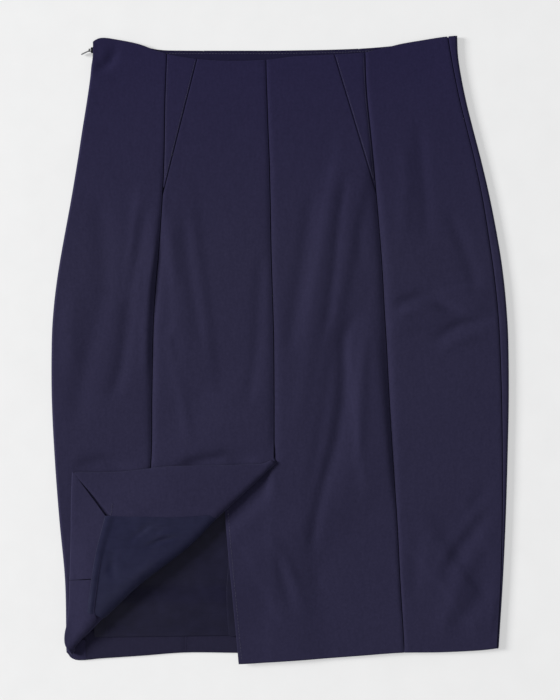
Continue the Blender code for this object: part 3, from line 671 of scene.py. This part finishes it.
def pressed_hem(cloth, first, x_at, end, depth, relieved, shift=0.0, steps=8):
    """A turn-up: round the fold at the end of each column, and back under."""
    a = TURN_ANGLES[None, :]
    x0 = x_at(end)[:, None]
    arc = cloth.add(
        x0 + 0 * a, end[:, None] - TURN * np.sin(a), TURN * (np.cos(a) - 1) + relieved(x0, end[:, None]),
        normal=(0.0, -np.sin(a), np.cos(a)), beyond_hem=TURN * (a - np.sin(a)),
    )
    share = np.linspace(0, 1, steps + 1)[None, 1:]
    run = depth[:, None] * share
    y = end[:, None] + run
    x = each(x_at, y) + shift * share
    back = cloth.add(
        x, y, relieved(x, y) - LAYER - HEM_SLACK * share, normal=(0.0, 0.0, -1.0),
        beyond_hem=math.pi * TURN + 2 * run,
    )
    cloth.weave(np.concatenate([first[:, None], arc, back], axis=1))


def between(low, high, shares, gap=SEAM):
    """Columns that share out the panel between two seams."""

    def columns(y):
        inset = HALF + gap * smooth((y + 312.0) / 8.0)
        return low(y) + inset + (high(y) - low(y) - 2 * inset) * shares

    return columns


def fade_relief(x, y):
    """Relief that dies out where the cloth bends round a side or onto the roll."""
    inside = np.minimum(x - bend_left(y), bend_right(y) - x)
    return relief(x, y) * smooth((inside + 2.0) / 10.0) * smooth(-rolled(x, y) / 18.0)


def level(x, y):
    return 0.0 * (x + y)


def right_relief(x, y):
    inside = bend_right(y) - x
    return relief(x, y) * smooth((inside + 2.0) / 10.0)


def piece_of(cloth, node, material):
    """The shown sheet that stands for a CAD node."""
    piece, flat, area = cloth.build(f"skirt_{node}", material)
    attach(piece, "skirt")
    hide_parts(node)
    return piece


# ---------------------------------------------------------------- materials


WHITE = (1.0, 1.0, 1.0)
UP_SCALE = 3.06  # one over the height of the waist above the middle, in metres


def feed(tree, node, **inputs):
    """Links or sets a node's inputs, which are named with _ for each space."""
    for name, value in inputs.items():
        socket = node.inputs[name.replace("_", " ")]
        if isinstance(value, bpy.types.NodeSocket):
            tree.links.new(value, socket)
        else:
            socket.default_value = value
    return node


def new_material(name):
    material = bpy.data.materials.new(name)
    material.use_nodes = True
    tree = material.node_tree
    where = tree.nodes.new("ShaderNodeTexCoord")
    return material, tree, tree.nodes["Principled BSDF"], where.outputs["Object"]


def mapped(tree, where, **turned):
    return feed(tree, tree.nodes.new("ShaderNodeMapping"), Vector=where, **turned).outputs["Vector"]


def noise(tree, where, scale, detail=3.0, stretch=None):
    source = mapped(tree, where, Scale=stretch) if stretch else where
    node = tree.nodes.new("ShaderNodeTexNoise")
    return feed(tree, node, Vector=source, Scale=scale, Detail=detail).outputs["Fac"]


def ramp(tree, value, low, high, start=0.3, stop=0.7):
    node = feed(tree, tree.nodes.new("ShaderNodeValToRGB"), Fac=value)
    for element, place, colour in zip(node.color_ramp.elements, (start, stop), (low, high)):
        element.position, element.color = place, (*colour, 1.0)
    return node.outputs["Color"]


def maths(tree, kind, a, b):
    node = tree.nodes.new("ShaderNodeMath")
    node.operation = kind
    tree.links.new(a, node.inputs[0])
    if isinstance(b, float):
        node.inputs[1].default_value = b
    else:
        tree.links.new(b, node.inputs[1])
    return node.outputs["Value"]


def weighed(tree, *parts):
    """Sum of values, each with its weight."""
    total = None
    for value, weight in parts:
        part = maths(tree, "MULTIPLY", value, weight)
        total = part if total is None else maths(tree, "ADD", total, part)
    return total


def multiplied(tree, a, b):
    node = tree.nodes.new("ShaderNodeMix")
    node.data_type, node.blend_type = "RGBA", "MULTIPLY"
    return feed(tree, node, Factor=1.0, A=a, B=b).outputs["Result"]


def bump(tree, shader, value, distance, strength):
    node = feed(tree, tree.nodes.new("ShaderNodeBump"), Strength=strength, Distance=distance, Height=value)
    feed(tree, shader, Normal=node.outputs["Normal"])


def weave_value(tree, where, pitch, slant):
    """Fine ribs of a twill, slanting across the cloth."""
    wave = tree.nodes.new("ShaderNodeTexWave")
    wave.bands_direction = "X"
    turned = mapped(tree, where, Rotation=(0.0, 0.0, math.radians(slant)))
    feed(tree, wave, Vector=turned, Scale=0.314 / pitch, Distortion=0.6, Detail=1.0, Detail_Scale=2.0)
    return wave.outputs["Fac"]


def waist_shade_share(tree, where):
    """0 at the middle of the skirt to 1 at its waist, for painted shade that makes the cloth darker and bluer
    there.
    """
    parts = feed(tree, tree.nodes.new("ShaderNodeSeparateXYZ"), Vector=where)
    return maths(tree, "MULTIPLY", parts.outputs["Y"], UP_SCALE)


def suiting(name, low, high):
    """Matt wool-mix twill with a faint mottle and a soft bloom, and painted shade towards the waist."""
    material, tree, shader, where = new_material(name)
    mottle = noise(tree, where, 380.0, detail=4.0)
    cloud = noise(tree, where, 9.0, detail=2.0)
    slub = noise(tree, where, 420.0, detail=2.0, stretch=(1.0, 0.25, 1.0))
    colour = ramp(tree, mottle, low, high)
    for tint in (
        ramp(tree, cloud, (0.95, 0.95, 0.96), WHITE),
        ramp(tree, slub, (0.9, 0.9, 0.92), WHITE),
        # painted shade: the cloth darker and bluer towards the waist
        ramp(tree, waist_shade_share(tree, where), WHITE, (0.72, 0.67, 0.93), 0.3, 0.95),
    ):
        colour = multiplied(tree, colour, tint)
    feed(
        tree, shader, Base_Color=colour, Roughness=0.82, Specular_IOR_Level=0.08, Sheen_Weight=0.10,
        Sheen_Roughness=0.45, Sheen_Tint=(0.55, 0.58, 0.85, 1.0),
    )
    ribs = weave_value(tree, where, 0.00055, 62.0)
    crossing = weave_value(tree, where, 0.0008, -14.0)
    bump(tree, shader, weighed(tree, (ribs, 0.6), (crossing, 0.25), (mottle, 1.1)), 0.00012, 0.8)
    return material


def lining_cloth(name, low, high):
    """Smooth lining with a low sheen along fine straight yarns."""
    material, tree, shader, where = new_material(name)
    mottle = noise(tree, where, 90.0)
    streak = noise(tree, where, 500.0, detail=2.0, stretch=(0.15, 1.0, 1.0))
    tint = ramp(tree, streak, (0.88, 0.88, 0.9), WHITE)
    feed(
        tree, shader, Base_Color=multiplied(tree, ramp(tree, mottle, low, high), tint), Roughness=0.46,
        Specular_IOR_Level=0.1, Sheen_Weight=0.05, Sheen_Tint=(0.6, 0.65, 0.9, 1.0), Anisotropic=0.3,
    )
    bump(tree, shader, weighed(tree, (streak, 0.7), (mottle, 0.8)), 0.00008, 0.7)
    return material


def thread_material(name, colour):
    material, tree, shader, where = new_material(name)
    twist = weave_value(tree, where, 0.0002, 30.0)
    twisted = ramp(tree, twist, tuple(c * 0.7 for c in colour), colour)
    feed(tree, shader, Base_Color=twisted, Roughness=0.5, Sheen_Weight=0.2)
    return material


def metal(name, low, high, roughness):
    material, tree, shader, where = new_material(name)
    wear = ramp(tree, noise(tree, where, 900.0), low, high)
    feed(tree, shader, Base_Color=wear, Metallic=1.0, Roughness=roughness)
    scratches = noise(tree, where, 1500.0, detail=2.0, stretch=(0.2, 1.0, 1.0))
    bump(tree, shader, scratches, 0.00003, 0.5)
    return material


SUITING = suiting("suiting", (0.0226, 0.0203, 0.0495), (0.0268, 0.0241, 0.0575))
# Darker copy of the suiting: painted shade for the waist facing inside the skirt.
SHADED_CLOTH = suiting("suiting_painted_shade", (0.0140, 0.0125, 0.0330), (0.0175, 0.0160, 0.0400))
LINING = lining_cloth("lining", (0.0125, 0.0130, 0.0375), (0.0165, 0.0170, 0.0460))
# Darker copy of the lining: painted shade for the front lining in the vent's opening and the strip under the
# lap.
SHADED_LINING = lining_cloth("lining_painted_shade", (0.0082, 0.0074, 0.0225), (0.0108, 0.0098, 0.0290))
# Darker copy of the suiting: painted shade for the front pieces seen through the vent and below the back.
SHADED_FRONT_CLOTH = suiting("suiting_front_painted_shade", (0.0175, 0.0158, 0.0370), (0.0205, 0.0186, 0.0425))
BRIGHT_THREAD = thread_material("edge_thread", (0.066, 0.062, 0.115))
THREAD = thread_material("thread", (0.048, 0.045, 0.088))
LINING_THREAD = thread_material("lining_thread", (0.05, 0.052, 0.1))
ZIP_TAPE = lining_cloth("zip_tape", (0.008, 0.008, 0.016), (0.014, 0.014, 0.025))
ZIP_METAL = metal("zip_metal", (0.16, 0.16, 0.17), (0.26, 0.26, 0.27), 0.36)
SLIDER_METAL = metal("slider_metal", (0.02, 0.02, 0.026), (0.04, 0.04, 0.05), 0.4)


# ---------------------------------------------------------------- back panels


def centre_left_edge(y):
    return np.where(y > INSET_END, inset_left(y), princess_left(y))


def vent_or_seam(y):
    drawn = VENT_TOP[1] + 4.0
    return centre(y) + (vent_edge(y) - 0.3 - centre(y)) * smooth((drawn - y) / 12.0)


def zip_gap(y):
    return HALF + 0.3 * smooth((y - 95.0) / 10.0) + 2.3 * smooth((y - 289.0) / 18.0)


def left_panel(cloth, x_at, count):
    end = end_of(x_at, count, back=hem_left)
    rows, first = left_rows(x_at, count, end)
    x = each(x_at, rows)
    numbers = cloth.add(x, rows, fade_relief(x, rows))
    cloth.weave(numbers)
    return numbers, rows, end, first


def turned_depth(x):
    """Depth of the turned corner's hem, deepest where it meets the facing at its mitre."""
    return HEM_TURNED + (MITRE_DEPTH - HEM_TURNED) * smooth((x - MITRE_FROM) / MITRE_RUN)


def lining_depth(x):
    """Depth of the hem that the turned-over lining stops at."""
    return HEM_LEFT_SIDE + (MITRE_DEPTH - HEM_LEFT_SIDE - 1.0) * smooth((x - MITRE_FROM) / MITRE_RUN)


def back_side_left():
    cloth = Cloth(lay_left, HALF)
    flat = 1.0 - eased(100.0)
    rounds = np.concatenate([np.linspace(0, 0.42, 15)[1:], np.linspace(0.42, 1.0, 9)[1:]])
    count = len(flat) + len(rounds)

    def columns(y):
        y = np.broadcast_to(y, (count,))
        top, low = y[: len(flat)], y[len(flat) :]
        start = bend_left(top)
        on_top = start + (princess_left(top) - SEAM - HALF - start) * flat
        past = bend_left(low) - (side_left(low) - zip_gap(low)) * rounds
        return np.concatenate([on_top, past])

    numbers, _, end, _ = left_panel(cloth, columns, count)
    beyond_roll = roll_rows(columns, count, end)[:, ROLL_ROWS] - end
    around_roll = 0.4 * math.pi * roll_radius(beyond(columns(end), end)[0])
    depth = np.minimum(turned_depth(columns(end)), np.maximum(5.0, beyond_roll + around_roll))
    depth[len(flat) + 8 :] = 20.0
    pressed_hem(cloth, numbers[:, -1], columns, end, depth, fade_relief)
    return piece_of(cloth, "back_side_left", SUITING)


def back_centre_left():
    cloth = Cloth(lay_left, HALF)
    shares = eased(125.0)
    columns = between(centre_left_edge, vent_or_seam, shares)
    numbers, rows, end, first = left_panel(cloth, columns, len(shares))
    depth = turned_depth(columns(end))
    ratio = FACING / MITRE_DEPTH
    mitre = -((depth * ratio + HALF) * smooth((shares - 0.2) / 0.8))[:, None]
    pressed_hem(cloth, numbers[:, -1], columns, end, depth, fade_relief, shift=mitre)
    edge_rows = rows[-1, first:]
    edge_x = vent_or_seam(edge_rows) - SEAM - HALF
    a = TURN_ANGLES[:, None]
    drop = np.zeros_like(edge_rows)
    drop[-1] = SEAM * 2 + HALF
    arc = cloth.add(
        edge_x[None, :] + TURN * np.sin(a), (edge_rows + drop)[None, :] + 0 * a, TURN * (np.cos(a) - 1),
        normal=(np.sin(a), 0.0, np.cos(a)), beyond_edge=TURN * (a - np.sin(a)),
    )
    across = np.linspace(0, 1, 16)[1:]

    def facing_x(y):
        return vent_or_seam(y) - SEAM - HALF - FACING * across

    mitre_y = FACING * across / ratio + HALF - 2.4 * across
    facing_rows = roll_rows(facing_x, len(across), end_of(facing_x, len(across), back=hem_left) + mitre_y)
    x = each(facing_x, facing_rows)
    puff = creased(*flap_point(x, facing_rows), FACING_CREASES) * smooth(rolled(x, facing_rows) / 12.0 - 0.5)
    inner = cloth.add(
        x, facing_rows, -LAYER - puff, normal=(0.0, 0.0, -1.0),
        beyond_edge=math.pi * TURN + 2 * FACING * across[:, None],
    )
    cloth.weave(np.concatenate([numbers[-1, first:][None, :], arc, inner], axis=0))
    return piece_of(cloth, "back_centre_left", SUITING)


def centre_right_edge(y):
    return np.where(y > INSET_END, inset_right(y), princess_right(y))


def plain_panel(cloth, x_at, count, relieved, step=STEP):
    """A panel with a row along the insets' points."""
    top, end = top_of(x_at, count), end_of(x_at, count)
    above = runs(top, np.full(count, INSET_END), eased(170.0, fine=1.0, coarse=step))
    below = runs(np.full(count, INSET_END), end, eased(470.0, fine=1.0, coarse=step)[1:])
    rows = np.concatenate([above, below], axis=1)
    x = each(x_at, rows)
    numbers = cloth.add(x, rows, relieved(x, rows))
    cloth.weave(numbers)
    return numbers, rows, end


def back_centre_right():
    cloth = Cloth(lay_right, HALF)
    shares = eased(120.0)
    columns = between(centre, centre_right_edge, shares)
    numbers, rows, end = plain_panel(cloth, columns, len(shares), right_relief)
    seam_rows = rows[0]
    first = int(np.argmax(seam_rows < LAP_TOP))
    lap_shares = np.linspace(0, 1, 17)[1:]

    def lap_x(y):
        start = centre(y) + SEAM + HALF
        return start + (underlap_edge(y) - start) * lap_shares

    def every(y):
        y = np.broadcast_to(y, (len(lap_shares) + len(shares),))
        return np.concatenate([lap_x(y[: len(lap_shares)][::-1])[::-1], columns(y[len(lap_shares) :])])

    lap_end = end_of(lap_x, len(lap_shares))
    lap_top = seam_rows[first] - 12.0 * lap_shares
    progress = (seam_rows[first:] - seam_rows[first]) / (seam_rows[-1] - seam_rows[first])
    lap_rows = runs(lap_top, lap_end, progress)
    x = each(lap_x, lap_rows)
    lap = cloth.add(x, lap_rows, right_relief(x, lap_rows))
    cloth.weave(np.concatenate([lap[::-1], numbers[:1, first:]], axis=0))
    ends = np.concatenate([lap_end[::-1], end])
    last = np.concatenate([lap[::-1, -1], numbers[:, -1]])
    pressed_hem(cloth, last, every, ends, np.full(len(ends), HEM_BACK_RIGHT), right_relief)
    return piece_of(cloth, "back_centre_right", SUITING)


def inset(node, outer, inner):
    cloth = Cloth(lay_back, HALF)
    shares = np.linspace(0, 1, 13)
    columns = between(outer, inner, shares)
    top = top_of(columns, len(shares))
    rows = runs(top, np.full(len(shares), INSET_END + INSET_STOP), eased(160.0, fine=1.0))
    x = each(columns, rows)
    cloth.weave(cloth.add(x, rows, right_relief(x, rows)))
    return piece_of(cloth, node, SUITING)


def back_side_right():
    cloth = Cloth(lay_back, HALF)
    shares = eased(100.0)
    columns = between(princess_right, side_right, shares)
    numbers, _, end = plain_panel(cloth, columns, len(shares), right_relief)
    pressed_hem(cloth, numbers[:, -1], columns, end, np.full(len(shares), HEM_BACK_RIGHT), right_relief)
    return piece_of(cloth, "back_side_right", SUITING)


# ---------------------------------------------------------------- front panels


def front_side_right():
    cloth = Cloth(lay_back, HALF)
    rounds = np.concatenate([np.linspace(0, 0.45, 9), np.linspace(0.45, 1.0, 13)[1:]])
    flat = np.linspace(0, 1, 19)[1:]
    count = len(rounds) + len(flat)

    def columns(y):
        y = np.broadcast_to(y, (count,))
        a, b = y[: len(rounds)], y[len(rounds) :]
        start = side_right(a) + SEAM + HALF - bend_right(a)
        past = bend_right(a) + start + (SIDE_ARC - start) * rounds
        below = bend_right(b) + SIDE_ARC + (bend_right(b) - front_right(b) - HALF) * flat
        return np.concatenate([past, below])

    numbers, _, end = plain_panel(cloth, columns, count, right_relief, step=5.0)
    pressed_hem(cloth, numbers[:, -1], columns, end, np.full(count, HEM_BACK_RIGHT), right_relief)
    return piece_of(cloth, "front_side_right", SUITING)


def under_grooves(x, y):
    depth, width = (lambda y: 0.0 * y + FRONT_GROOVE), (lambda y: FRONT_GROOVE_WIDTH)
    return seam_groove(x, y, front_left, depth, width) + seam_groove(x, y, front_right, depth, width)


def front_side_left():
    cloth = Cloth(lay_back, HALF)
    near = np.concatenate([np.linspace(0, 0.05, 11), np.linspace(0.05, 1.0, 19)[1:]])
    count = len(near)

    def columns(y):
        start = side_left(y) + zip_gap(y)
        run = SIDE_ARC + front_left(y) - HALF - bend_left(y)
        return bend_left(y) - (start + (run - start) * near)

    numbers, _, end = plain_panel(cloth, columns, count, level, step=FRONT_STEP)
    pressed_hem(cloth, numbers[:, -1], columns, end, np.full(count, HEM_FRONT_LEFT), level)
    return piece_of(cloth, "front_side_left", SHADED_FRONT_CLOTH)


def front_centre():
    cloth = Cloth(lay_front, HALF)
    shares = eased(190.0, fine=1.0, coarse=FRONT_STEP)
    columns = between(front_left, front_right, shares, gap=0.0)
    top, end = waist_front(columns(315.0)), hem_front(columns(-313.0))
    rows = runs(top, end, eased(625.0, fine=1.0, coarse=FRONT_STEP))
    x = each(columns, rows)
    numbers = cloth.add(x, rows, under_grooves(x, rows))
    cloth.weave(numbers)
    pressed_hem(cloth, numbers[:, -1], columns, end, np.full(len(shares), HEM_FRONT), under_grooves)
    return piece_of(cloth, "front_centre", SHADED_FRONT_CLOTH)


def strip(x, high, low, rows, half, w):
    """A sheet on the front's inside, over the columns x and from high to low."""
    cloth = Cloth(lay_front, half)
    y = runs(high, low, np.linspace(0, 1, rows + 1))
    table_x = np.broadcast_to(x[:, None], y.shape)
    cloth.weave(cloth.add(table_x, y, w(table_x, y)))
    return cloth


def waist_facing():
    x = -188.5 + 364.0 * eased(364.0, fine=1.0, coarse=4.0)
    edge = waist_front(x)

    def understitched(x, y):
        return -LAYER + 0.25 * np.exp(-(((waist_front(x) - 5.2 - y) / 1.2) ** 2))

    cloth = strip(x, edge - 1.4, edge - WAIST_FACING, 24, HALF, understitched)
    return piece_of(cloth, "waist_facing_front", SHADED_CLOTH)


def front_lining_hem(x):
    return -297.4 + (x + 181.0) * LINING_TILT


def lining_front():
    """It lies on the front, over its turn-up at the hem, with a small tuck beside the turned corner."""
    x = -194.0 + 197.6 * eased(198.0, fine=1.0, coarse=2.0)

    def lying(x, y):
        ripple = 0.35 * np.sin(x / 9.0 + y / 37.0) * np.sin(y / 21.0 + x / 50.0)
        off_hem = smooth((y + 290.0) / 4.0)
        tuck = np.exp(-(((x + 181.0) / 1.6) ** 2)) - 0.7 * np.exp(-(((x + 184.0) / 1.4) ** 2))
        low = smooth((y + 264.0) / 22.0)
        over = 1.8 * low - (2 * LAYER - 0.1) - 0.45 * (tuck + 0.7) * (1 - low)
        return over - (ripple - 0.25) * off_hem * 0.5

    cloth = strip(x, 0 * x - 104.2, front_lining_hem(x), 60, LINING_HALF, lying)
    return piece_of(cloth, "lining_front", SHADED_LINING)


def lining_end(x):
    """Where the turned-over lining stops short of the hem."""
    return hem_left(x) + lining_depth(x) - LINING_LAP


def lining_back_left():
    cloth = Cloth(lay_left, LINING_HALF)
    shares = eased(128.0, fine=1.0, coarse=2.6)

    def columns(y):
        edge = vent_or_seam(y) - SEAM - HALF - FACING - 0.35
        return MITRE_FROM + (edge - MITRE_FROM) * shares

    deepest = (columns(-300.0) - MITRE_FROM) / (-57.0 - MITRE_FROM)
    depth = HEM_LEFT_SIDE + (MITRE_DEPTH - HEM_LEFT_SIDE - 1.0) * smooth(deepest)
    end = end_of(columns, len(shares), back=hem_left) + depth - LINING_LAP
    rolling = roll_rows(columns, len(shares), end, flap_count=60)
    inside = rolling[:, :1] + np.array([16.0, 8.0])[None, :]
    rows = np.concatenate([inside, rolling], axis=1)
    x = each(columns, rows)
    from_hem = rows - end[:, None]
    over = 1 - smooth((from_hem - LINING_LAP) / 5.0)
    turned = smooth(rolled(x, rows) / 12.0 - 0.5)
    fold = 1.6 * creased(*flap_point(x, rows), FLAP_CREASES) * turned * smooth(from_hem / 8.0)
    hem_roll = 0.25 * (1 - smooth(np.abs(from_hem - 2.6) / 2.6))
    w = -LAYER - over * (HALF + LINING_HALF + 0.15) - fold - hem_roll
    cloth.weave(cloth.add(x, rows, w, normal=(0.0, 0.0, -1.0)))
    return piece_of(cloth, "lining_back_left", LINING)


def lining_back_right():
    edge = through([(-297.0, -53.8), (-274.0, -55.6), (-249.0, -56.2), (-221.0, -54.4), (-205.0, -55.0)])
    width = 12.6
    cloth = Cloth(lay_right, LINING_HALF)
    rows = np.linspace(-210.2, -296.4, 45)[None, :]
    across = np.linspace(0, width, 9)[:, None]
    wave = 0.25 * np.sin(rows / 11.0) * (1 - across / width)
    cloth.weave(cloth.add(edge(rows) + across, rows + 0 * across, -LAYER + wave))
    return piece_of(cloth, "lining_back_right", SHADED_LINING)


# ---------------------------------------------------------------- stitches and hardware


def add_tube(points, faces, line, radii, across, up):
    """Rings round a line, joined by quads, added to points and faces."""
    base, sides = len(points), TUBE_SIDES
    angles = np.arange(sides) * 2 * math.pi / sides
    for centre_point, radius, side, rise in zip(line, radii, across, up):
        points.extend(centre_point + radius * (math.cos(a) * side + math.sin(a) * rise) for a in angles)
    for k in range(base, base + (len(line) - 1) * sides, sides):
        for s in range(sides):
            n = (s + 1) % sides
            faces.append([k + s, k + n, k + sides + n, k + sides + s])
    return base, base + (len(line) - 1) * sides


def unit(vectors):
    return vectors / np.linalg.norm(vectors, axis=1, keepdims=True)


def stitches(name, x, y, lay, material, slot, w, pitch=3.0, length=2.2, thick=0.17):
    """A row of thread stitches along a path of pattern points, half sunk in the cloth."""
    run = np.concatenate([[0.0], np.cumsum(np.hypot(np.diff(x), np.diff(y)))])
    points, faces, rings, sink = [], [], 5, 0.1
    bow = np.sin(np.linspace(0, math.pi, rings))
    for start in np.arange(pitch / 2, run[-1] - length, pitch):
        at = start + length * np.linspace(0, 1, rings) + rng.uniform(-0.12, 0.12, 2)[0]
        px, py = np.interp(at, run, x), np.interp(at, run, y)
        above = w(px, py) + thick * (0.5 + 0.8 * bow) - sink
        line = lay(px, py, above)
        up = unit(lay(px, py, above + 0.05) - line)
        across = np.cross(unit(np.gradient(line, axis=0)), up)
        first, last = add_tube(points, faces, line, thick * (0.35 + 0.65 * bow), across, up)
        faces.append([first + s for s in reversed(range(TUBE_SIDES))])
        faces.append([last + s for s in range(TUBE_SIDES)])
    piece = mesh_piece(name, np.array(points), faces, material)
    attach(piece, "skirt")


def right_side(x, y):
    return right_relief(x, y) + HALF


def underside(lay):
    return lambda x, y, up: lay(x, y, -up)


def sewing():
    short = {"pitch": 2.1, "length": 1.3, "thick": 0.15, "w": right_side}
    for side, seam, inner, top, toward in (
        ("left", princess_left, inset_left, 302.0, 1),
        ("right", princess_right, inset_right, 305.5, -1),
    ):
        y = np.linspace(top, INSET_END + 16.0, 60)
        for name, x, thread in (
            ("inset", inner(y) - 1.5 * toward, BRIGHT_THREAD), ("princess", seam(y) + 1.5 * toward, THREAD),
        ):
            stitches(f"stitch_{name}_{side}", x, y, lay_back, thread, "suiting", **short)
    y = np.linspace(-150.0, -320.0, 60)
    x = underlap_edge(y) + 3.0
    stitches("stitch_underlap", x, y, lay_right, BRIGHT_THREAD, "suiting", right_side, pitch=3.4)
    x = np.linspace(-124.0, 106.0, 90)
    stitches(
        "stitch_waist_facing", x, waist_front(x) - 2.9, underside(lay_front), BRIGHT_THREAD, "suiting",
        lambda x, y: LAYER + HALF + 0.0 * x,
    )
    x = np.linspace(-180.0, -68.0, 90)
    stitches(
        "stitch_lining_flap", x, lining_end(x) + 5.0, underside(lay_left), LINING_THREAD, "lining",
        lambda x, y: LAYER + 0.45 + LINING_HALF + 0 * x, thick=0.14,
    )
    x = np.linspace(-179.0, -56.0, 60)
    stitches(
        "stitch_lining_front", x, front_lining_hem(x) + 6.2, underside(lay_front), LINING_THREAD, "lining",
        lambda x, y: 2 * LAYER + LINING_HALF + 0 * x, thick=0.14,
    )


def zip_parts():
    """The coil and tape behind the left side seam, and looks for the slider and its tab."""
    cloth = Cloth(lay_back, TAPE_HALF)
    rows = np.linspace(ZIP_TOP, ZIP_END, 60)[None, :]
    across = np.linspace(-1, 1, 13)[:, None]
    x = bend_left(rows) - side_left(rows) - 2.6 * across
    cloth.weave(cloth.add(x, rows + 0 * across, -LAYER - 0.15))
    tape, _, _ = cloth.build("skirt_zip_tape", ZIP_TAPE)
    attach(tape, "skirt")
    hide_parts("zip_chain")
    turns, wire = 150, 0.16
    t = np.linspace(0, 1, turns * 8)
    y = ZIP_TOP - 0.5 + (ZIP_END - ZIP_TOP + 1.0) * t
    a = t * turns * 2 * math.pi
    line = lay_back(bend_left(y) - side_left(y) - 0.75 * np.cos(a), y, -0.75 + 0.2 * np.sin(a))
    along = unit(np.gradient(line, axis=0))
    across = unit(np.cross(along, np.array([-1.0, 0.0, 0.0])))
    points, faces = [], []
    add_tube(points, faces, line, np.full(len(line), wire), across, np.cross(across, along))
    coil = mesh_piece("skirt_zip_coil", np.array(points), faces, ZIP_TAPE)
    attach(coil, "skirt")
    for name, material in (("zip_slider", SLIDER_METAL), ("zip_pull_tab", ZIP_METAL)):
        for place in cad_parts[name].material_slots:
            place.material = material


# ---------------------------------------------------------------- studio


FLOOR_HALF, FLOOR_Z = 40.0, -0.0004  # metres


def studio():
    """A plain light ground, a key light from the left with two fills, and a camera straight above."""
    scene = bpy.context.scene
    mesh = bpy.data.meshes.new("floor")
    corners = ((-1, -1), (1, -1), (1, 1), (-1, 1))
    mesh.from_pydata([(x * FLOOR_HALF, y * FLOOR_HALF, FLOOR_Z) for x, y in corners], [], [(0, 1, 2, 3)])
    floor = bpy.data.objects.new("floor", mesh)
    scene.collection.objects.link(floor)
    material, tree, shader, where = new_material("floor")
    ground = ramp(tree, noise(tree, where, 30.0), (0.40, 0.40, 0.397), (0.42, 0.42, 0.417))
    feed(tree, shader, Base_Color=ground, Roughness=0.9, Emission_Color=(*WHITE, 1.0), Emission_Strength=0.46)
    mesh.materials.append(material)
    world = bpy.data.worlds.new("studio")
    scene.world = world
    world.use_nodes = True
    feed(world.node_tree, world.node_tree.nodes["Background"], Color=(0.95, 0.96, 1.0, 1.0), Strength=0.26)

    def area(name, place, aim, size, power, colour=(1.0, 1.0, 1.0)):
        light = bpy.data.lights.new(name, "AREA")
        light.shape = "SQUARE"
        light.size = size
        light.energy = power
        light.color = colour
        lamp = bpy.data.objects.new(name, light)
        lamp.location = place
        lamp.rotation_euler = (Vector(aim) - Vector(place)).to_track_quat("-Z", "Y").to_euler()
        scene.collection.objects.link(lamp)

    area("key", (-7.7, 1.6, 3.9), (0, 0.0, 0), 2.6, 1000.0)
    area("fill", (6.5, 0.2, 1.5), (0, 0, 0), 1.6, 22.0, (0.78, 0.83, 1.0))
    area("top", (-0.5, -1.8, 4.6), (0, -0.1, 0), 1.6, 28.0)
    camera = bpy.data.cameras.new("camera")
    camera.lens = 90.0
    camera.sensor_width = 36.0
    holder = bpy.data.objects.new("camera", camera)
    field = 0.7264  # metres shown along the picture's long side
    middle = (-0.0002, 0.0003)
    top = 0.006
    holder.location = (middle[0], middle[1], top + field * camera.lens / camera.sensor_width)
    scene.collection.objects.link(holder)
    scene.camera = holder
    scene.view_settings.view_transform = "Standard"
    scene.view_settings.look = "None"


def main():
    back_side_left()
    back_centre_left()
    back_centre_right()
    inset("back_inset_left", princess_left, inset_left)
    inset("back_inset_right", inset_right, princess_right)
    back_side_right()
    front_side_left()
    front_centre()
    front_side_right()
    waist_facing()
    lining_front()
    lining_back_left()
    lining_back_right()
    sewing()
    zip_parts()
    studio()


main()
